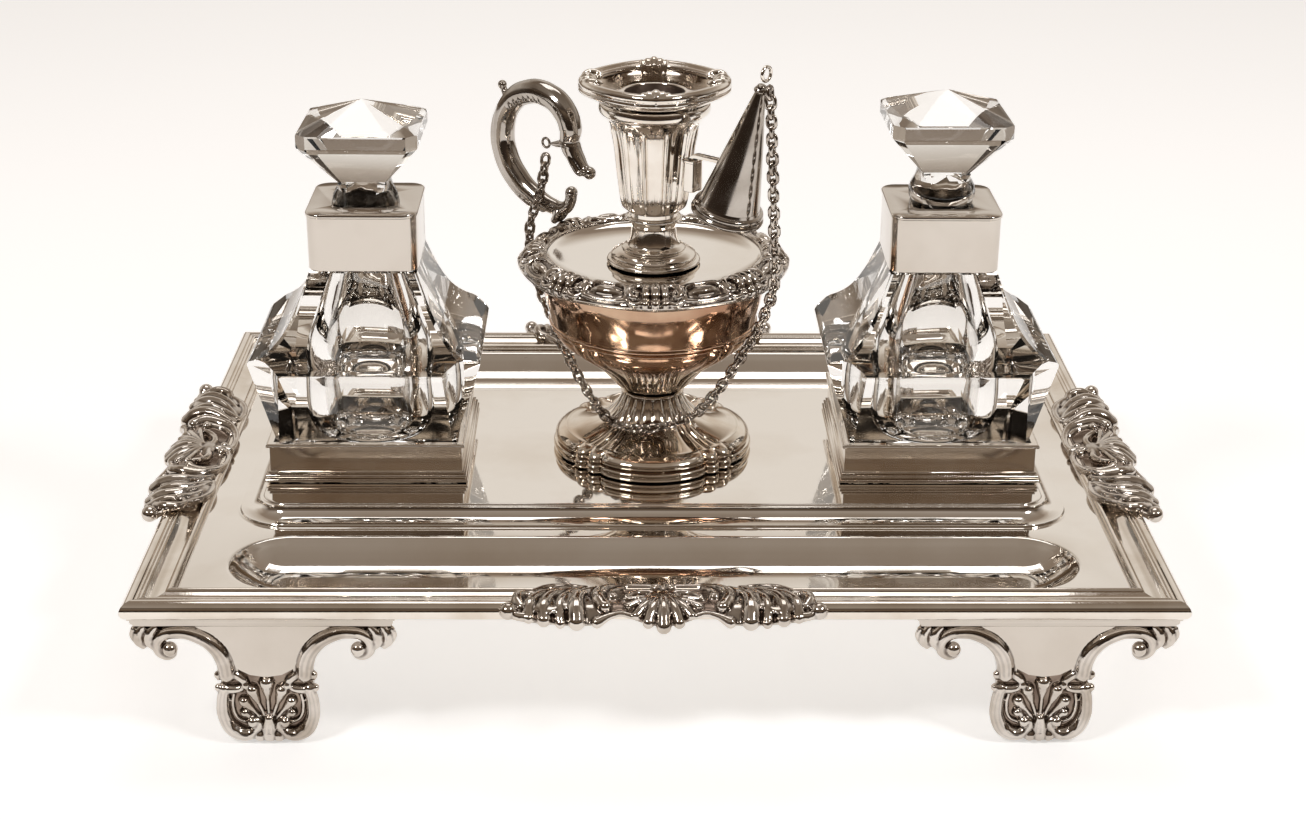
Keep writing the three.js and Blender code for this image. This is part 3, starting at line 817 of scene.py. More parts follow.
dripPan = {
    "profile": softProfile(
        [(20, 67.7), (34.7, 67.7)], [(34.7, 67.7), (34.7, 61.7)], [(34.7, 61.7), (35.7, 61.7)],
        [(35.7, 61.7), (35.7, 67.2)], [(35.7, 67.2), (37.0, 67.4)],
        [(37.0, 67.4), (37.6, 69.4), (37.4, 71.4)], [(37.4, 71.4), (37.0, 71.7), (36.6, 71.6)],
        [(36.6, 71.6), (35.2, 70.7), (32.4, 69.8), (28, 69.2), (20, 68.75)], steps=5),
}
socketShape = {
    "profile": softProfile(
        [(8, 69.3), (15.6, 69.3)], [(15.6, 69.3), (16.1, 69.8), (15.7, 70.5), (14.8, 70.8)],
        [(14.8, 71.0), (14.4, 72.2), (12.6, 73.2), (11.0, 73.6)], [(10.8, 73.8), (10.9, 74.4), (10.2, 74.9)],
        [(10.0, 75.0), (9.0, 75.6), (8.3, 77.2), (7.8, 79.6), (7.6, 82.2), (8.0, 83.9)],
        [(8.4, 84.0), (9.4, 84.5), (9.4, 85.4), (8.6, 86.0)], [(8.4, 86.1), (8.4, 87.2)],
        [(8.4, 87.3), (9.8, 88.6), (10.9, 91.4), (11.7, 96.8), (12.5, 103.4), (13.3, 110.6), (14.5, 116.4),
         (16.1, 119.8), (17.4, 121.4)],
        [(17.9, 121.5), (18.6, 122.1), (18.9, 123.3), (18.7, 124.9), (18.2, 125.5)],
        [(17.6, 125.5), (15.8, 121.7), (13.2, 116.9), (11.5, 113.6), (11.3, 106), (11.3, 100.4)],
        [(11.3, 100.4), (4, 100.2)], steps=5),
    "flutes": 12,
}
nozzleShape = {
    "profile": softProfile(
        [(9.9, 103.2), (10.6, 103.2)], [(10.6, 103.2), (10.6, 124.4)],
        [(10.6, 124.4), (12.6, 125.8), (15.6, 126.2), (18.6, 126.4)],
        [(18.6, 126.4), (20.8, 127.2), (22.6, 128.8), (23.4, 130.4)],
        [(23.6, 130.6), (24.6, 131.2), (24.7, 132.2), (23.9, 133.0), (22.9, 133.1)],
        [(22.7, 133.0), (22.2, 132.3), (21.2, 131.9)],
        [(21.0, 131.7), (18.4, 129.9), (14.0, 129.0), (10.5, 129.0), (9.9, 128.7)],
        [(9.9, 128.7), (9.9, 103.2)], steps=5),
}


def socketWave(angle, radius, z):
    # flat panels with a narrow raised rib between each two, ended by an arch at the top
    count = socketShape["flutes"]
    aside = abs((angle * count / (2 * math.pi) + 0.5) % 1 - 0.5) * 2  # 0 mid-panel, 1 on a rib
    if not 87.4 < z < 121.4 or radius < 8 or z > 97 and radius <= 11.6:
        return 0
    arch = 120.4 - 3.4 * aside ** 2
    fade = max(0, min(1, (z - 87.8) / 1.6, (arch - z) / 0.9))
    panel = -0.55 - 0.25 * math.cos(math.pi * min(aside / 0.72, 1))
    rib = 0.7 * math.cos(math.pi / 2 * (1 - aside) / 0.16) if aside > 0.84 else 0
    crease = -0.35 if 0.74 < aside < 0.86 else 0
    return (panel + rib + crease + 0.45) * fade + 0.25 * (1 - fade)


def squaredWave(angle, radius, z):
    # four slow bulges at the shells, so that the rim is not a plain circle
    if radius < 19:
        return 0
    return 0.8 * math.cos(4 * angle) * (radius - 19) / 6


def makeChamberstick():
    pan = loftRings("dripPan", turnedRings(dripPan["profile"], 160), True, True, 36)
    place(pan, "chamberstick", "candlestick_silver", traySilver, "drip_pan")
    rings = turnedRings(socketShape["profile"], 384, socketWave)
    socket = loftRings("candleSocket", rings, True, True, 38)
    place(socket, "chamberstick", "candlestick_silver", stickSilver, "candle_socket")
    print("pan and socket done")


makeChamberstick()


# handle and snuffer

handle = {
    "angle": 140,
    # each line is points of (distance out, height), with the thickness at every point
    "route": [(28.7, 94.5), (31.2, 95.4), (34.4, 98.4), (37.2, 102), (38.0, 104.6), (37.6, 109), (41, 115.4),
              (47.6, 119), (56.7, 118.9), (65.4, 113.4), (69.4, 103.1), (68, 94), (62.9, 86.8), (55, 81.6),
              (47, 79.2), (41, 79.4), (38, 82.4), (37.4, 85.6)],
    "thickness": [2.2, 2.1, 2.9, 3.6, 3.5, 4.1, 4.3, 4.4, 4.4, 4.2, 4.1, 4.1, 4.0, 3.5, 2.9, 2.5, 2.1, 2.2],
    "ends": [(28.9, 94.6, 2.3), (37.4, 85.8, 2.35), (69.6, 119.3, 1.7)],
    "thorns": [([(66.6, 114.6), (68.6, 117.2), (69.4, 118.8)], [1.7, 1.3, 1.2]),
               ([(40.6, 103.2), (43.6, 102.4), (46.6, 101.9)], [1.7, 1.3, 0.7])],
    # distance aside, line and thickness of the leaf edges and ridges on both sides
    "pairs": [(1.5, [(37.6, 106.9), (39.0, 114.3), (44.6, 120.3), (53.0, 122.5), (62.0, 120.1)],
               [0.5, 1.1, 1.4, 1.2, 0.5]),
              (2.0, [(60.7, 119.4), (68.1, 113.6), (72.7, 103.4), (71.3, 93), (65.3, 84.2), (56.7, 78.6),
                     (48.7, 76.8)], [0.5, 0.8, 0.9, 0.9, 0.8, 0.7, 0.4]),
              (2.2, [(37.5, 101.6), (34.6, 97.2), (31.6, 94.2), (30.0, 95.2)], [1.2, 1.3, 0.9, 0.6]),
              (1.3, [(41.6, 78.6), (43.4, 75.8), (45.0, 74.0)], [2.0, 1.7, 1.3])],
    "veins": 7, "veinThickness": [0.5, 0.75, 0.4],
    "knot": {"reach": 38.2, "height": 103.6, "radius": 3.3, "slant": 0.5, "wire": 0.75},
    "eye": {"reach": 49.1, "height": 101.8, "radius": 1.65, "wire": 0.48},
}


def onHandle(reach, height, aside=0):
    angle = math.radians(handle["angle"])
    x = reach * math.cos(angle) - aside * math.sin(angle)
    y = reach * math.sin(angle) + aside * math.cos(angle)
    return (x, y, height + platformTop)


def handleVeins(aside):
    # short ridges across the leaf, from its crest down to its edge
    veins = []
    for number in range(handle["veins"]):
        along = number / (handle["veins"] - 1)
        reach, height = 50 + 14 * along, 119.6 - 4.8 * along ** 2
        vein = [(reach + 1.8, height + 1.6, aside * 1.0), (reach, height - 0.2, aside * 3.4),
                (reach - 1.4, height - 2.4, aside * 4.0)]
        veins.append(wireThrough([onHandle(*spot) for spot in vein], handle["veinThickness"]))
    return veins


def makeHandle():
    strokes = [wireThrough([onHandle(*spot) for spot in handle["route"]], handle["thickness"], 5, 8)]
    strokes += [bead(onHandle(reach, height), radius) for reach, height, radius in handle["ends"]]
    for line, radii in handle["thorns"]:
        strokes.append(wireThrough([onHandle(*spot) for spot in line], radii))
    for aside in (-1, 1):
        for out, line, radii in handle["pairs"]:
            strokes.append(wireThrough([onHandle(*spot, aside * out) for spot in line], radii))
        strokes += handleVeins(aside)
    knot = handle["knot"]
    ring = []
    for t in ringAngles(8):
        height = knot["height"] + knot["slant"] * math.cos(t)
        ring.append(onHandle(knot["reach"] + knot["radius"] * math.cos(t), height, knot["radius"] * math.sin(t)))
    strokes.append(wireThrough(ring, [knot["wire"]] * 8, closed=True))
    sweep = fuseCasting("scrollHandle", strokes, 0.34, 5)
    # the handle takes the darker copy of the silver, whose low tone is painted shade
    place(sweep, "chamberstick", "cast_silver", shadedSilver, "handle")
    hoop = handle["eye"]
    reach, height, radius = hoop["reach"], hoop["height"], hoop["radius"]
    ring = [onHandle(reach + radius * math.cos(t), height + radius * math.sin(t)) for t in ringAngles(12)]
    eye = wireEye("chainEye", ring, hoop["wire"])
    place(eye, "chamberstick", "cast_silver", chainSilver, "chain_eye")
    print("handle done")


snuffer = {
    "angle": -40, "tilt": 16, "reach": 31.1, "height": 91.8,
    "profile": softProfile(
        [(0.02, 43.4), (3.0, 31.0), (9.5, 5.0), (10.3, 0.3)], [(10.3, 0.3), (11.2, 0.0)],
        [(11.2, 0.0), (12.1, 0.2), (12.4, 1.1), (11.8, 2.0)],
        [(11.4, 2.1), (11.9, 2.7), (11.6, 3.6), (10.9, 3.9)],
        [(10.6, 4.1), (10.3, 5.0)], [(10.2, 5.0), (6.2, 24.8), (1.8, 45.4)],
        [(2.0, 45.5), (2.4, 46.3), (2.0, 47.1)], [(1.7, 47.2), (1.5, 48.0), (0.9, 48.4)], steps=5),
    "bracket": {"reach": 16.4, "low": 97.5, "high": 108.5, "deep": 4.8, "wide": 5.8},
    "arm": {
        "height": 109.8,
        # distance out and drop below the height, then the outline across the arm
        "line": [(16.4, 7.3), (16.4, 2.4), (16.7, 0.9), (17.9, 0.15), (20, 0), (24, 0), (28.2, 0)],
        "outline": [(-1.6, -0.5), (-1.6, 0.5), (-0.88, 0.8), (-0.56, 0.55), (0.56, 0.55), (0.88, 0.8),
                    (1.6, 0.5), (1.6, -0.5), (0.8, -0.7), (-0.8, -0.7)],
    },
    "eye": {"reach": 45.9, "height": 142.0, "radius": 2.28, "wire": 0.62},
}


def makeSnuffer():
    turn = Matrix.Rotation(math.radians(snuffer["angle"]), 4, "Z")
    lean = Matrix.Rotation(math.radians(snuffer["tilt"]), 4, "Y")
    stand = Matrix.Translation(Vector((snuffer["reach"], 0, snuffer["height"] + platformTop)) * mm)
    cone = loftRings("snufferCone", turnedRings(snuffer["profile"], 96, height=0), True, True, 36)
    cone.data.transform(turn @ stand @ lean)
    # the cone takes the darker copy of the silver, whose low tone is painted shade
    place(cone, "extinguisher", "candlestick_silver", shadedSilver, "extinguisher_cone")

    bracket = snuffer["bracket"]
    path = roundedPath(bracket["deep"] / 2, bracket["wide"] / 2, 0.9, 5)
    low, high = bracket["low"] + platformTop, bracket["high"] + platformTop
    walls = [(-1.0, low), (-0.2, low), (0, low + 0.2), (0, high - 1.1), (0.25, high - 0.9),
             (0.3, high - 0.3), (0.05, high), (-1.0, high), (-1.0, low)]
    tube = loftRings("snufferBracket", offsetRings(path, walls, (bracket["reach"], 0)), smoothAngle=40)
    tube.data.transform(turn)
    place(tube, "chamberstick", "candlestick_silver", stickSilver, "snuffer_bracket")

    height = snuffer["arm"]["height"] + platformTop
    line = smoothLine([(reach, height - drop) for reach, drop in snuffer["arm"]["line"]], 4)
    rings = []
    for i, (reach, z) in enumerate(line):
        ahead, behind = line[min(i + 1, len(line) - 1)], line[max(i - 1, 0)]
        along = Vector((ahead[0] - behind[0], 0, ahead[1] - behind[1])).normalized()
        across = Vector((-along.z, 0, along.x))
        outline = snuffer["arm"]["outline"]
        rings.append([tuple(Vector((reach, side, z)) + across * up) for side, up in outline])
    arm = loftRings("snufferArm", rings, True, True, 30)
    arm.data.transform(turn)
    place(arm, "extinguisher", "candlestick_silver", stickSilver, "extinguisher_arm")

    hoop = snuffer["eye"]
    middle, radius = hoop["height"] + platformTop, hoop["radius"]
    ring = [(hoop["reach"], radius * math.cos(t), middle + radius * math.sin(t)) for t in ringAngles(12)]
    eye = wireEye("tipEye", ring, hoop["wire"], 4)
    eye.data.transform(turn)
    place(eye, "extinguisher", "candlestick_silver", stickSilver, "extinguisher_eye")
    print("snuffer done")


makeHandle()
makeSnuffer()


# cast ornaments on the rim of the tray

ornament = {
    "length": 102, "sideLength": 115, "shift": 2,
    # along the edge, inner limit, outer limit
    "reach": [(0, 15, -6.4), (5, 14.8, -6.0), (9, 14.6, -4.8), (12, 14.4, -3.8), (15, 14.2, -3.9),
              (18, 13.8, -5.2), (22, 13.6, -6.2), (27, 13.8, -6.4), (32, 13.8, -6.2), (37, 12.4, -5.8),
              (41, 8.8, -5.6), (44, 5.0, -5.2), (48, 0.5, -4.2), (49.5, -1, -3)],
    # outward to inward, height of the sheet
    "surface": [(-9, 44.9), (-8, 46.2), (-6.5, 48.6), (-5, 50.3), (-3, 51.9), (-1, 52.8), (1.5, 53.2),
                (4, 53.0), (8, 52.0), (12, 51.4), (15, 50.5)],
    "strands": [
        ([(1.0, 13.8), (4, 14.8), (9, 14.9), (14, 13.8), (18, 11.0), (20.0, 6.6), (20.0, 2.2), (18.6, -1.4)],
         [1.2, 1.0, 1.1, 1.5, 1.9, 2.1, 2.1, 2.0]),
        ([(12.6, 12.6), (15.2, 10.2), (16.4, 6.6), (16.0, 3.2)], [0.7, 0.9, 1.0, 1.3]),
        ([(20.6, 12.6), (24.2, 8), (26.4, 2.6), (26.8, -3), (26.6, -5.8)], [1.0, 1.6, 2.1, 2.7, 2.9]),
        ([(25.2, 12.2), (29.4, 6.6), (31.6, 0.6), (31.9, -4.2), (31.6, -6.2)], [0.9, 1.3, 1.5, 1.6, 1.7]),
        ([(24, 13.4), (30, 14.2), (35.8, 12.8), (39.8, 9.2), (41.8, 6.4)], [0.9, 1.3, 1.5, 1.3, 1.0]),
        ([(25.4, 12.6), (31, 8.8), (35.2, 3.6), (36.8, -2), (36.6, -5.4)], [0.9, 1.4, 1.8, 2.2, 2.4]),
        ([(28.4, 12.8), (34.4, 9.6), (38.8, 4.8), (41.0, -0.4), (41.2, -5.0)], [0.7, 1.2, 1.5, 1.7, 1.9]),
        ([(39.4, 6.6), (42.2, 7.0), (44.6, 4.8), (45.0, 1.4), (43.6, -1.8)], [0.9, 1.4, 1.7, 1.7, 1.5]),
        ([(42.4, -4.8), (45.0, -4.4), (47.2, -3.4)], [1.6, 1.5, 1.8]),
        ([(9.6, -4.6), (13, -3.9), (16.6, -4.6), (20.4, -6.0)], [1.0, 0.9, 1.2, 1.9]),
        ([(2.0, 7.6), (6.2, 8.2), (9.6, 6.6), (11.4, 4.0)], [1.0, 1.3, 1.1, 0.8])],
    # along, inward, half length, half width
    "leafPads": [(23, 8.6, 3.4, 4.2), (30.4, 9.4, 5.0, 4.2), (36.2, 6.4, 4.4, 4.6), (28.6, 1.6, 4.6, 5.2),
                 (36.0, -1.0, 5.0, 4.6), (0.01, 6.4, 5.4, 3.4)],
    "shell": [(0, -6.7, 2.5), (4.7, -6.0, 2.0), (8.4, -4.4, 1.6), (10.9, -1.6, 1.2), (11.6, 1.8, 0.9)],
    "balls": [(47.6, -3.2, 2.8), (18.0, -1.8, 2.1), (15.4, 3.4, 1.5), (40.4, 3.4, 1.4), (2.2, 12.2, 1.7)],
    "shellRoot": 5.4, "groundHeight": 0.45, "groundHalfLength": 19,
}


def onOrnament(along, inward, lift=0.9):
    return (along, inward, readTable(ornament["surface"], inward)[0] + lift)


def ornamentSheet(a, b):
    along = a * 49.5
    inner, outer = readTable(ornament["reach"], abs(along))
    inward = outer + (inner - outer) * (b + 1) / 2
    hollow = 0.9 * max(0, 1 - ((abs(along) - 9.5) / 5) ** 2) if 3 < inward < 12 else 0
    return onOrnament(along, inward, 0.35 - hollow)


def makeOrnaments():
    strokes = [shapedSheet(120, 26, ornamentSheet, 1.9)]
    for side in (-1, 1):
        for line, radii in ornament["strands"]:
            strokes += stroke([onOrnament(side * along, inward, 0.7) for along, inward in line], radii)
        for along, inward, radius in ornament["balls"]:
            strokes.append(bead(onOrnament(side * along, inward, 0.7), radius))
        for along, inward, radius in ornament["shell"]:
            if side == 1 or along:
                root = ornament["shellRoot"]
                rib = [(side * along * share, root + (inward - root) * share)
                       for share in (0.12, 0.45, 0.75, 1)]
                strokes += stroke([onOrnament(*spot, 0.7) for spot in rib],
                                  [0.8, radius * 0.7, radius * 0.9, radius])
        for along, inward, length, width in ornament["leafPads"]:
            strokes.append(bead(onOrnament(side * along, inward, 0.2), 1, (length, width, 1.3)))
    strokes += stroke([onOrnament(0, 14.6, 0.9), onOrnament(0, 10.4, 1.0)], [1.5, 1.1])
    casting = fuseCasting("rimOrnament", strokes, 0.34, 2)
    addFinishes(casting, castSilver, recessSilver)
    for face in casting.data.polygons:
        along, inward, height = face.center / mm
        ground = readTable(ornament["surface"], inward)[0] + ornament["groundHeight"]
        face.material_index = int(height < ground and abs(along) < ornament["groundHalfLength"])
    longer = ornament["sideLength"] / ornament["length"]
    for name, degrees, _, edge in traySides:
        shift = ornament["shift"] if name == "front" else 0
        stretch = longer if name in ("left", "right") else 1
        turn = Matrix.Rotation(math.radians(degrees), 4, "Z")
        move = Matrix.Translation(Vector((shift, -edge, 0)) * mm) @ Matrix.Diagonal((stretch, 1, 1, 1))
        copy = movedCopy(casting, "rimOrnament" + name.capitalize(), turn @ move)
        settle(copy, "tray", "cast_silver", "rim_ornament_" + name)
    print("rim ornaments done,", len(casting.data.polygons), "faces each")
    bpy.data.objects.remove(casting)


makeOrnaments()


# feet

foot = {
    "x": 122.5, "face": 113.5,
    "outline": [(0, 1.0), (4, 0.6), (8, 0.6), (12, 2.6), (14.6, 6.4), (15.4, 12), (14.6, 18), (14.4, 24),
                (15.6, 29.6), (18.6, 34.6), (23, 37.4), (27.4, 37.8), (31, 37), (36, 36), (39.4, 37.6),
                (40.2, 42)],
    "strands": [
        ([(12.2, 24.4), (12.9, 29.6), (15.6, 34.6), (20.4, 38.2), (26.4, 39.6), (31.4, 38.2), (33.2, 34.4),
          (31.4, 31.2), (28.6, 31.6), (28.4, 33.8)], [2.7, 2.8, 2.7, 2.6, 2.4, 2.1, 1.8, 1.5, 1.3, 1.1]),
        ([(8.9, 26), (9.8, 30.4), (12.4, 35.6), (16.8, 39.6), (22.8, 41.6)], [0.55, 0.6, 0.6, 0.6, 0.5]),
        ([(13.4, 19.2), (14.2, 14.4), (13.8, 8.6), (11.2, 4.2), (7.2, 2.7), (4.2, 4.4), (3.6, 7.2),
          (5.6, 8.4)], [1.9, 2.1, 2.3, 2.6, 2.3, 1.9, 1.5, 1.1]),
        ([(10.4, 18.2), (11.1, 13), (9.8, 8.6), (7.4, 7.2)], [0.5, 0.55, 0.5, 0.45]),
        ([(14.8, 23.6), (11.4, 24.8), (7.6, 22.6), (6.2, 20.6)], [1.3, 1.5, 1.4, 1.0]),
        ([(15.2, 19.6), (12.2, 19.0), (8.8, 19.2), (6.6, 20.4)], [1.4, 1.5, 1.3, 0.9]),
        ([(33.6, 41), (35.2, 39), (35.6, 36.4), (34.6, 34.6)], [1.2, 1.7, 1.9, 1.4]),
        ([(37.4, 41), (38.8, 38.6), (38.8, 36.2), (37.6, 34.6)], [1.1, 1.6, 1.7, 1.2]),
        ([(40.2, 40.6), (40.6, 38.4), (40.2, 36.8)], [0.9, 1.1, 0.9])],
    "balls": [(29.3, 33.6, 2.5), (5.2, 7.4, 1.9), (6.6, 20.6, 1.3), (14.9, 24.4, 1.4), (3.0, 2.5, 2.1)],
    "petals": [(0, 21.4, 2.4), (4.7, 18.7, 2.0), (7.5, 14.7, 1.75), (7.6, 10.6, 1.4)],
    "bud": [(0, 8.4, 1.6), (0, 5.4, 2.2), (0, 3.0, 2.7)],
    "panel": [(0, 23.6), (5, 24.4), (9.2, 26.8), (10.6, 31), (13.6, 36.2), (18.8, 40.4), (22, 42.2),
              (22, 42.6)],
    # depth of the panel's edge and face, with the size of its outline there about panelMiddle
    "panelDepths": [(-3.2, 1), (-1.45, 1), (-1.25, 0.994)], "panelMiddle": 33,
    "cornice": softProfile([(-2.2, 41.7), (-1.2, 41.8)], [(-1.2, 41.8), (-0.7, 42.2), (-0.5, 42.9)],
                           [(-0.5, 42.9), (-0.2, 43.0)], [(-0.2, 43.0), (0.1, 43.7), (0.2, 44.6)],
                           [(0.2, 44.6), (0.7, 44.8), (0.9, 45.3), (0.7, 45.8)], [(0.5, 45.9), (0.5, 46.9)]),
    "corniceHalf": (40.6, 3.4), "petalRoot": 5.6,
}


def makeFeet():
    line = foot["outline"]
    around = line + [(-x, z) for x, z in reversed(line)]
    slab = [[(x, depth, z) for x, z in around] for depth in (-2.9, -6.6)]
    strokes = [loftRings("footSlab", slab, True, True)]
    root = foot["petalRoot"]
    for side in (-1, 1):
        for path, radii in foot["strands"]:
            strokes += stroke([(side * x, -1.9, z) for x, z in path], radii)
        for x, z, radius in foot["balls"]:
            strokes.append(bead((side * x, -1.5, z), radius))
        for x, z, radius in foot["petals"]:
            if side == 1 or x:
                strokes += stroke([(side * x * share, -2.3 + 0.6 * share, root + (z - root) * share)
                                   for share in (0.3, 0.6, 0.84, 1)], [0.5, 0.55, radius * 0.7, radius])
    strokes += stroke([(x, -1.7, z) for x, z, _ in foot["bud"]], [r for *_, r in foot["bud"]])
    casting = fuseCasting("footCasting", strokes, 0.34, 2)
    addFinishes(casting, castSilver, recessSilver)
    for face in casting.data.polygons:
        _, depth, z = face.center / mm
        face.material_index = int(-3.4 < depth < -2.55 and face.normal.y > 0.6 and z < 25)

    half = foot["panel"]
    edge = half + [(-x, z) for x, z in reversed(half[1:])]
    middle = foot["panelMiddle"]
    rings = [[(x * size, depth, middle + (z - middle) * size) for x, z in edge]
             for depth, size in foot["panelDepths"]]
    panel = loftRings("footPanel", rings, capLast=True, smoothAngle=25)
    rings = offsetRings(framePath(*foot["corniceHalf"]), foot["cornice"], (0, -3.2))
    cornice = loftRings("footCornice", rings, True, True, 25)
    # the panel and cornice take the dimmed silver, whose low tone is a painted darker reflection
    for plain in (panel, cornice):
        addFinishes(plain, footSilver)
    whole = joinPieces("footWhole", [casting, panel, cornice])
    # drawn with the front towards +Y, so half a turn brings the front feet round
    for row, degrees in (("front", 180), ("back", 0)):
        for name, side in (("left", -1), ("right", 1)):
            turn = Matrix.Rotation(math.radians(degrees), 4, "Z")
            across = side * foot["x"] * (1 if degrees == 0 else -1)
            copy = movedCopy(whole, "foot" + row.capitalize() + name.capitalize(),
                             turn @ Matrix.Translation(Vector((across, foot["face"], 0)) * mm))
            settle(copy, "tray", "cast_silver", "foot_%s_%s" % (row, name))
    print("feet done,", len(whole.data.polygons), "faces each")
    bpy.data.objects.remove(whole)


makeFeet()


# cast border of the drip pan and rim of the nozzle

panBorder = {
    "groups": 8,
    "base": [(36.6, 69.0), (39.5, 67.4), (44.0, 66.8), (45.4, 67.6), (45.2, 69.4), (43.8, 70.8),
             (41.4, 71.8), (39.0, 72.3), (37.2, 72.0), (36.6, 70.8)],
    # degrees from the middle of a group, radius, height
    "strands": [
        ([(4.8, 38.4, 72.9), (8.4, 38.8, 73.1), (11.2, 40.8, 72.9), (11.0, 43.2, 71.7), (8.6, 43.8, 71.0),
          (7.8, 42.4, 72.0)], [0.8, 1.1, 1.2, 1.1, 0.8, 0.7]),
        ([(16.2, 41.8, 71.0), (19.2, 41.8, 71.3), (22.5, 41.8, 71.3)], [1.3, 2.1, 2.3]),
        ([(13.4, 44.4, 70.2), (12.8, 42.2, 72.0), (14.4, 39.4, 73.0), (18, 38.0, 73.0), (22.5, 37.8, 72.9)],
         [0.7, 0.85, 0.9, 0.8, 0.75]),
        ([(13.2, 44.6, 70.2), (16.6, 45.0, 69.9), (20, 45.1, 69.7), (22.5, 45.1, 69.7)],
         [0.7, 0.8, 0.75, 0.7]),
        ([(5.2, 44.8, 70.0), (7.4, 45.6, 69.2), (10.4, 45.2, 69.4), (12.6, 44.0, 70.6)],
         [0.9, 1.0, 0.9, 0.7])],
    "dots": [(9.4, 41.6, 72.2, 1.0), (13.6, 41.4, 72.2, 0.8)],
    "ribs": [(0, 1.6), (4.2, 1.3), (-4.2, 1.3)],
    "rib": [(37.6, 72.3), (39.4, 73.3), (41.8, 73.2), (43.6, 71.8), (44.2, 70.4), (45.4, 69.4),
            (45.6, 68.0)],
    "ribSize": [0.6, 0.9, 1.0, 1.0, 0.95, 1.0, 0.8],
    # radius, height, thickness and wave of the wires all the way round
    "wires": [(44.7, 68.1, 1.4, 0.5), (43.7, 70.0, 0.7, 0.5), (37.4, 72.2, 0.7, 0)],
}


def aroundPan(degrees, radius, height):
    angle = math.radians(degrees)
    return (radius * math.cos(angle), radius * math.sin(angle), height + platformTop)


def wavyWire(count, radius, height, wire, wave, resolution):
    # one knot of the wire every 360 / count degrees, one bulge every 18 knots
    ring = [aroundPan(i * 360 / count, radius + wave * math.cos(math.radians(i * 20)), height)
            for i in range(count)]
    return wireThrough(ring, [wire] * count, resolution, 2, closed=True)


def makePanBorder():
    strokes = [loftRings("borderBase", turnedRings(panBorder["base"] + panBorder["base"][:1], 192))]
    strokes += [wavyWire(144, *wire, 3) for wire in panBorder["wires"]]
    for number in range(panBorder["groups"]):
        middle = -90 + 360 / panBorder["groups"] * number
        for side in (-1, 1):
            for path, radii in panBorder["strands"]:
                strokes += stroke([aroundPan(middle + side * a, r, z) for a, r, z in path], radii)
            for offset, radius, height, size in panBorder["dots"]:
                strokes.append(bead(aroundPan(middle + side * offset, radius, height), size))
        for offset, size in panBorder["ribs"]:
            strokes += stroke([aroundPan(middle + offset, r, z) for r, z in panBorder["rib"]],
                              [size * share for share in panBorder["ribSize"]])
    ring = fuseCasting("panBorder", strokes, 0.3, 2)
    place(ring, "chamberstick", "cast_silver", castSilver, "pan_border")
    print("pan border done,", len(ring.data.polygons), "faces")


nozzleRim = {
    "wires": [(23.1, 131.8, 1.8, 0.8), (20.6, 131.8, 1.0, 0.8), (24.0, 129.8, 0.9, 0.8)],
    "ribs": [(0, 1.7), (5.6, 1.35), (-5.6, 1.35), (10.4, 1.05), (-10.4, 1.05)],
    "volute": [(8, 24.2, 132.4), (13, 23.8, 133.1), (17.6, 22.2, 133.4), (18.6, 20.0, 133.0),
               (15.2, 18.8, 132.4), (12.0, 19.8, 132.2)],
    "thickness": [0.9, 1.15, 1.25, 1.15, 1.0, 0.85],
    "sootRadius": 10.3, "sootTop": 128.4,
}


def makeNozzle():
    strokes = [wavyWire(72, *wire, 4) for wire in nozzleRim["wires"]]
    for number in range(4):
        middle = -90 + 90 * number
        for offset, radius in nozzleRim["ribs"]:
            rib = [(20.2, 132.4), (22.4, 133.4 - 0.05 * abs(offset)), (23.9, 132.6), (24.2, 130.6)]
            strokes += stroke([aroundPan(middle + offset, r, z) for r, z in rib],
                              [radius * 0.6, radius, radius * 0.9, radius * 0.9])
        if number % 2:
            for side in (-1, 1):
                strokes += stroke([aroundPan(middle + side * a, r, z) for a, r, z in nozzleRim["volute"]],
                                  nozzleRim["thickness"])
    rim = fuseCasting("nozzleRim", strokes, 0.3, 2)
    tube = loftRings("nozzleTube", turnedRings(nozzleShape["profile"], 192, squaredWave), smoothAngle=38)
    whole = joinPieces("looseNozzle", [tube, rim])
    place(whole, "nozzle", "candlestick_silver", stickSilver, "nozzle")
    addFinishes(whole, sootFinish)
    for face in whole.data.polygons:
        inside = face.center.to_2d().length < nozzleRim["sootRadius"] * mm
        if inside and face.center.z / mm - platformTop < nozzleRim["sootTop"]:
            face.material_index = 1
    print("nozzle done")


makePanBorder()
makeNozzle()


# floor and light

studio = {
    "floorTone": (0.92, 0.92, 0.92), "floorSize": (2.4, 2.3), "floorMiddle": (0, 0.42),
    "floorGlow": 0.42,
    # height of the direction, then its colour, for the side behind the camera and the side ahead of it
    "behind": [(0.0, (0.045, 0.032, 0.023)), (0.16, (0.06, 0.042, 0.03)), (0.30, (0.12, 0.085, 0.058)),
               (0.42, (0.21, 0.155, 0.11)), (0.50, (0.06, 0.045, 0.035)), (0.64, (0.17, 0.13, 0.10)),
               (0.78, (0.36, 0.31, 0.26)), (1.0, (0.28, 0.23, 0.185))],
    "ahead": [(0.0, (0.20, 0.15, 0.11)), (0.10, (0.44, 0.37, 0.30)), (0.22, (0.82, 0.765, 0.70)),
              (0.44, (0.82, 0.765, 0.70)), (0.58, (0.50, 0.43, 0.36)), (0.72, (0.27, 0.21, 0.16)),
              (1.0, (0.24, 0.19, 0.15))],
    "lamps": [("leftPanel", (-0.75, -0.75, 1.15), 0.30, 5.5), ("rightPanel", (0.85, -0.6, 1.1), 0.28, 5),
              ("topPanel", (0.0, 0.55, 1.45), 0.9, 3.5)],
}


def mathNode(nodes, links, operation, first, second, third=None):
    node = nodes.new("ShaderNodeMath")
    node.operation = operation
    for socket, value in zip(node.inputs, (first, second, third)):
        if isinstance(value, (int, float)):
            socket.default_value = value
        elif value is not None:
            links.new(value, socket)
    return node.outputs["Value"]


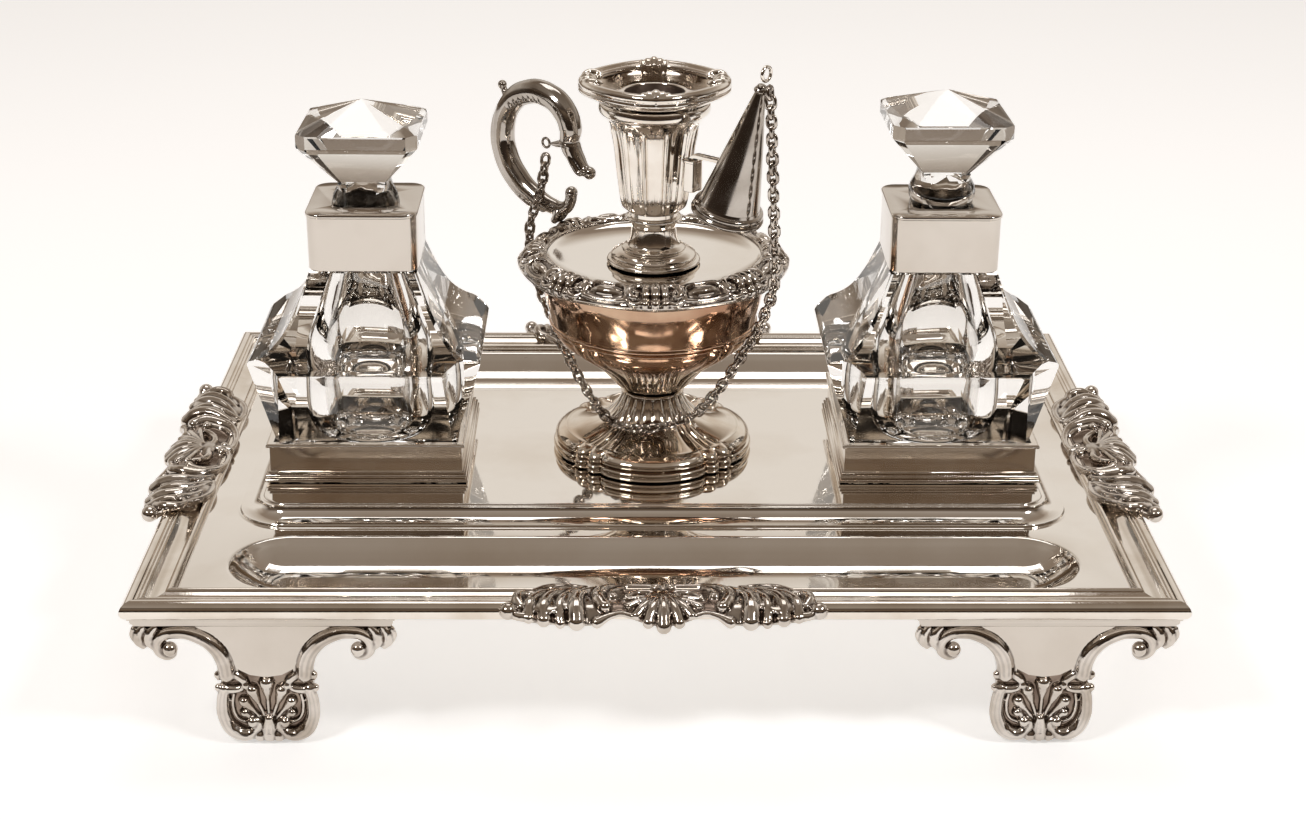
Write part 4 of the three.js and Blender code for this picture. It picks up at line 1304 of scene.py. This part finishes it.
def makeRoom():
    world = bpy.data.worlds.new("studioRoom")
    bpy.context.scene.world = world
    world.use_nodes = True
    nodes, links = world.node_tree.nodes, world.node_tree.links
    coordinates = nodes.new("ShaderNodeTexCoord").outputs["Generated"]
    split = nodes.new("ShaderNodeSeparateXYZ")
    links.new(coordinates, split.inputs["Vector"])
    wobble = nodes.new("ShaderNodeTexNoise")
    wobble.inputs["Scale"].default_value = 2.4
    wobble.inputs["Detail"].default_value = 1.5
    links.new(coordinates, wobble.inputs["Vector"])
    height = mathNode(nodes, links, "MULTIPLY_ADD", wobble.outputs["Fac"], 0.28, split.outputs["Z"])
    height = mathNode(nodes, links, "SUBTRACT", height, 0.14)
    sides = [rampBetween(nodes, links, height, studio[key]) for key in ("behind", "ahead")]
    facing = spreadNode(nodes, links, split.outputs["Y"], -0.1, 0.45)
    room = nodes.new("ShaderNodeMix")
    room.data_type = "RGBA"
    links.new(facing, room.inputs["Factor"])
    links.new(sides[0], room.inputs["A"])
    links.new(sides[1], room.inputs["B"])
    seen = nodes.new("ShaderNodeMix")
    seen.data_type = "RGBA"
    seen.inputs["B"].default_value = (1, 1, 1, 1)
    links.new(nodes.new("ShaderNodeLightPath").outputs["Is Camera Ray"], seen.inputs["Factor"])
    links.new(room.outputs["Result"], seen.inputs["A"])
    links.new(seen.outputs["Result"], nodes["Background"].inputs["Color"])


def makeStudio():
    clearSelection()
    bpy.ops.mesh.primitive_grid_add(x_subdivisions=12, y_subdivisions=12, size=1, location=(0, 0, 0))
    floor = bpy.context.object
    for vert in floor.data.vertices:
        vert.co.x = vert.co.x * studio["floorSize"][0] + studio["floorMiddle"][0]
        vert.co.y = vert.co.y * studio["floorSize"][1] + studio["floorMiddle"][1]
    floor.name = "paleFloor"
    finish, nodes, links, shader = newFinish("paleTable")
    tone = rampBetween(nodes, links, patchyNoise(nodes, links, 3, 3),
                       [(0.3, studio["floorTone"]), (0.7, tuple(c * 0.985 for c in studio["floorTone"]))])
    links.new(tone, shader.inputs["Base Color"])
    shader.inputs["Roughness"].default_value = 0.75
    shader.inputs["Specular IOR Level"].default_value = 0.2
    shader.inputs["Emission Color"].default_value = (1, 1, 1, 1)
    shader.inputs["Emission Strength"].default_value = studio["floorGlow"]
    addFinishes(floor, finish)
    for name, spot, size, power in studio["lamps"]:
        bpy.ops.object.light_add(type="AREA", location=spot)
        lamp = bpy.context.object
        lamp.name = name
        lamp.data.shape = "RECTANGLE"
        lamp.data.size = size
        lamp.data.size_y = size * 0.6
        lamp.data.energy = power
        lamp.rotation_euler = (Vector((0, 0, 0.08)) - Vector(spot)).to_track_quat("-Z", "Y").to_euler()
    bpy.context.scene.view_settings.view_transform = "Standard"


makeRoom()
makeStudio()
print("floor and light done")
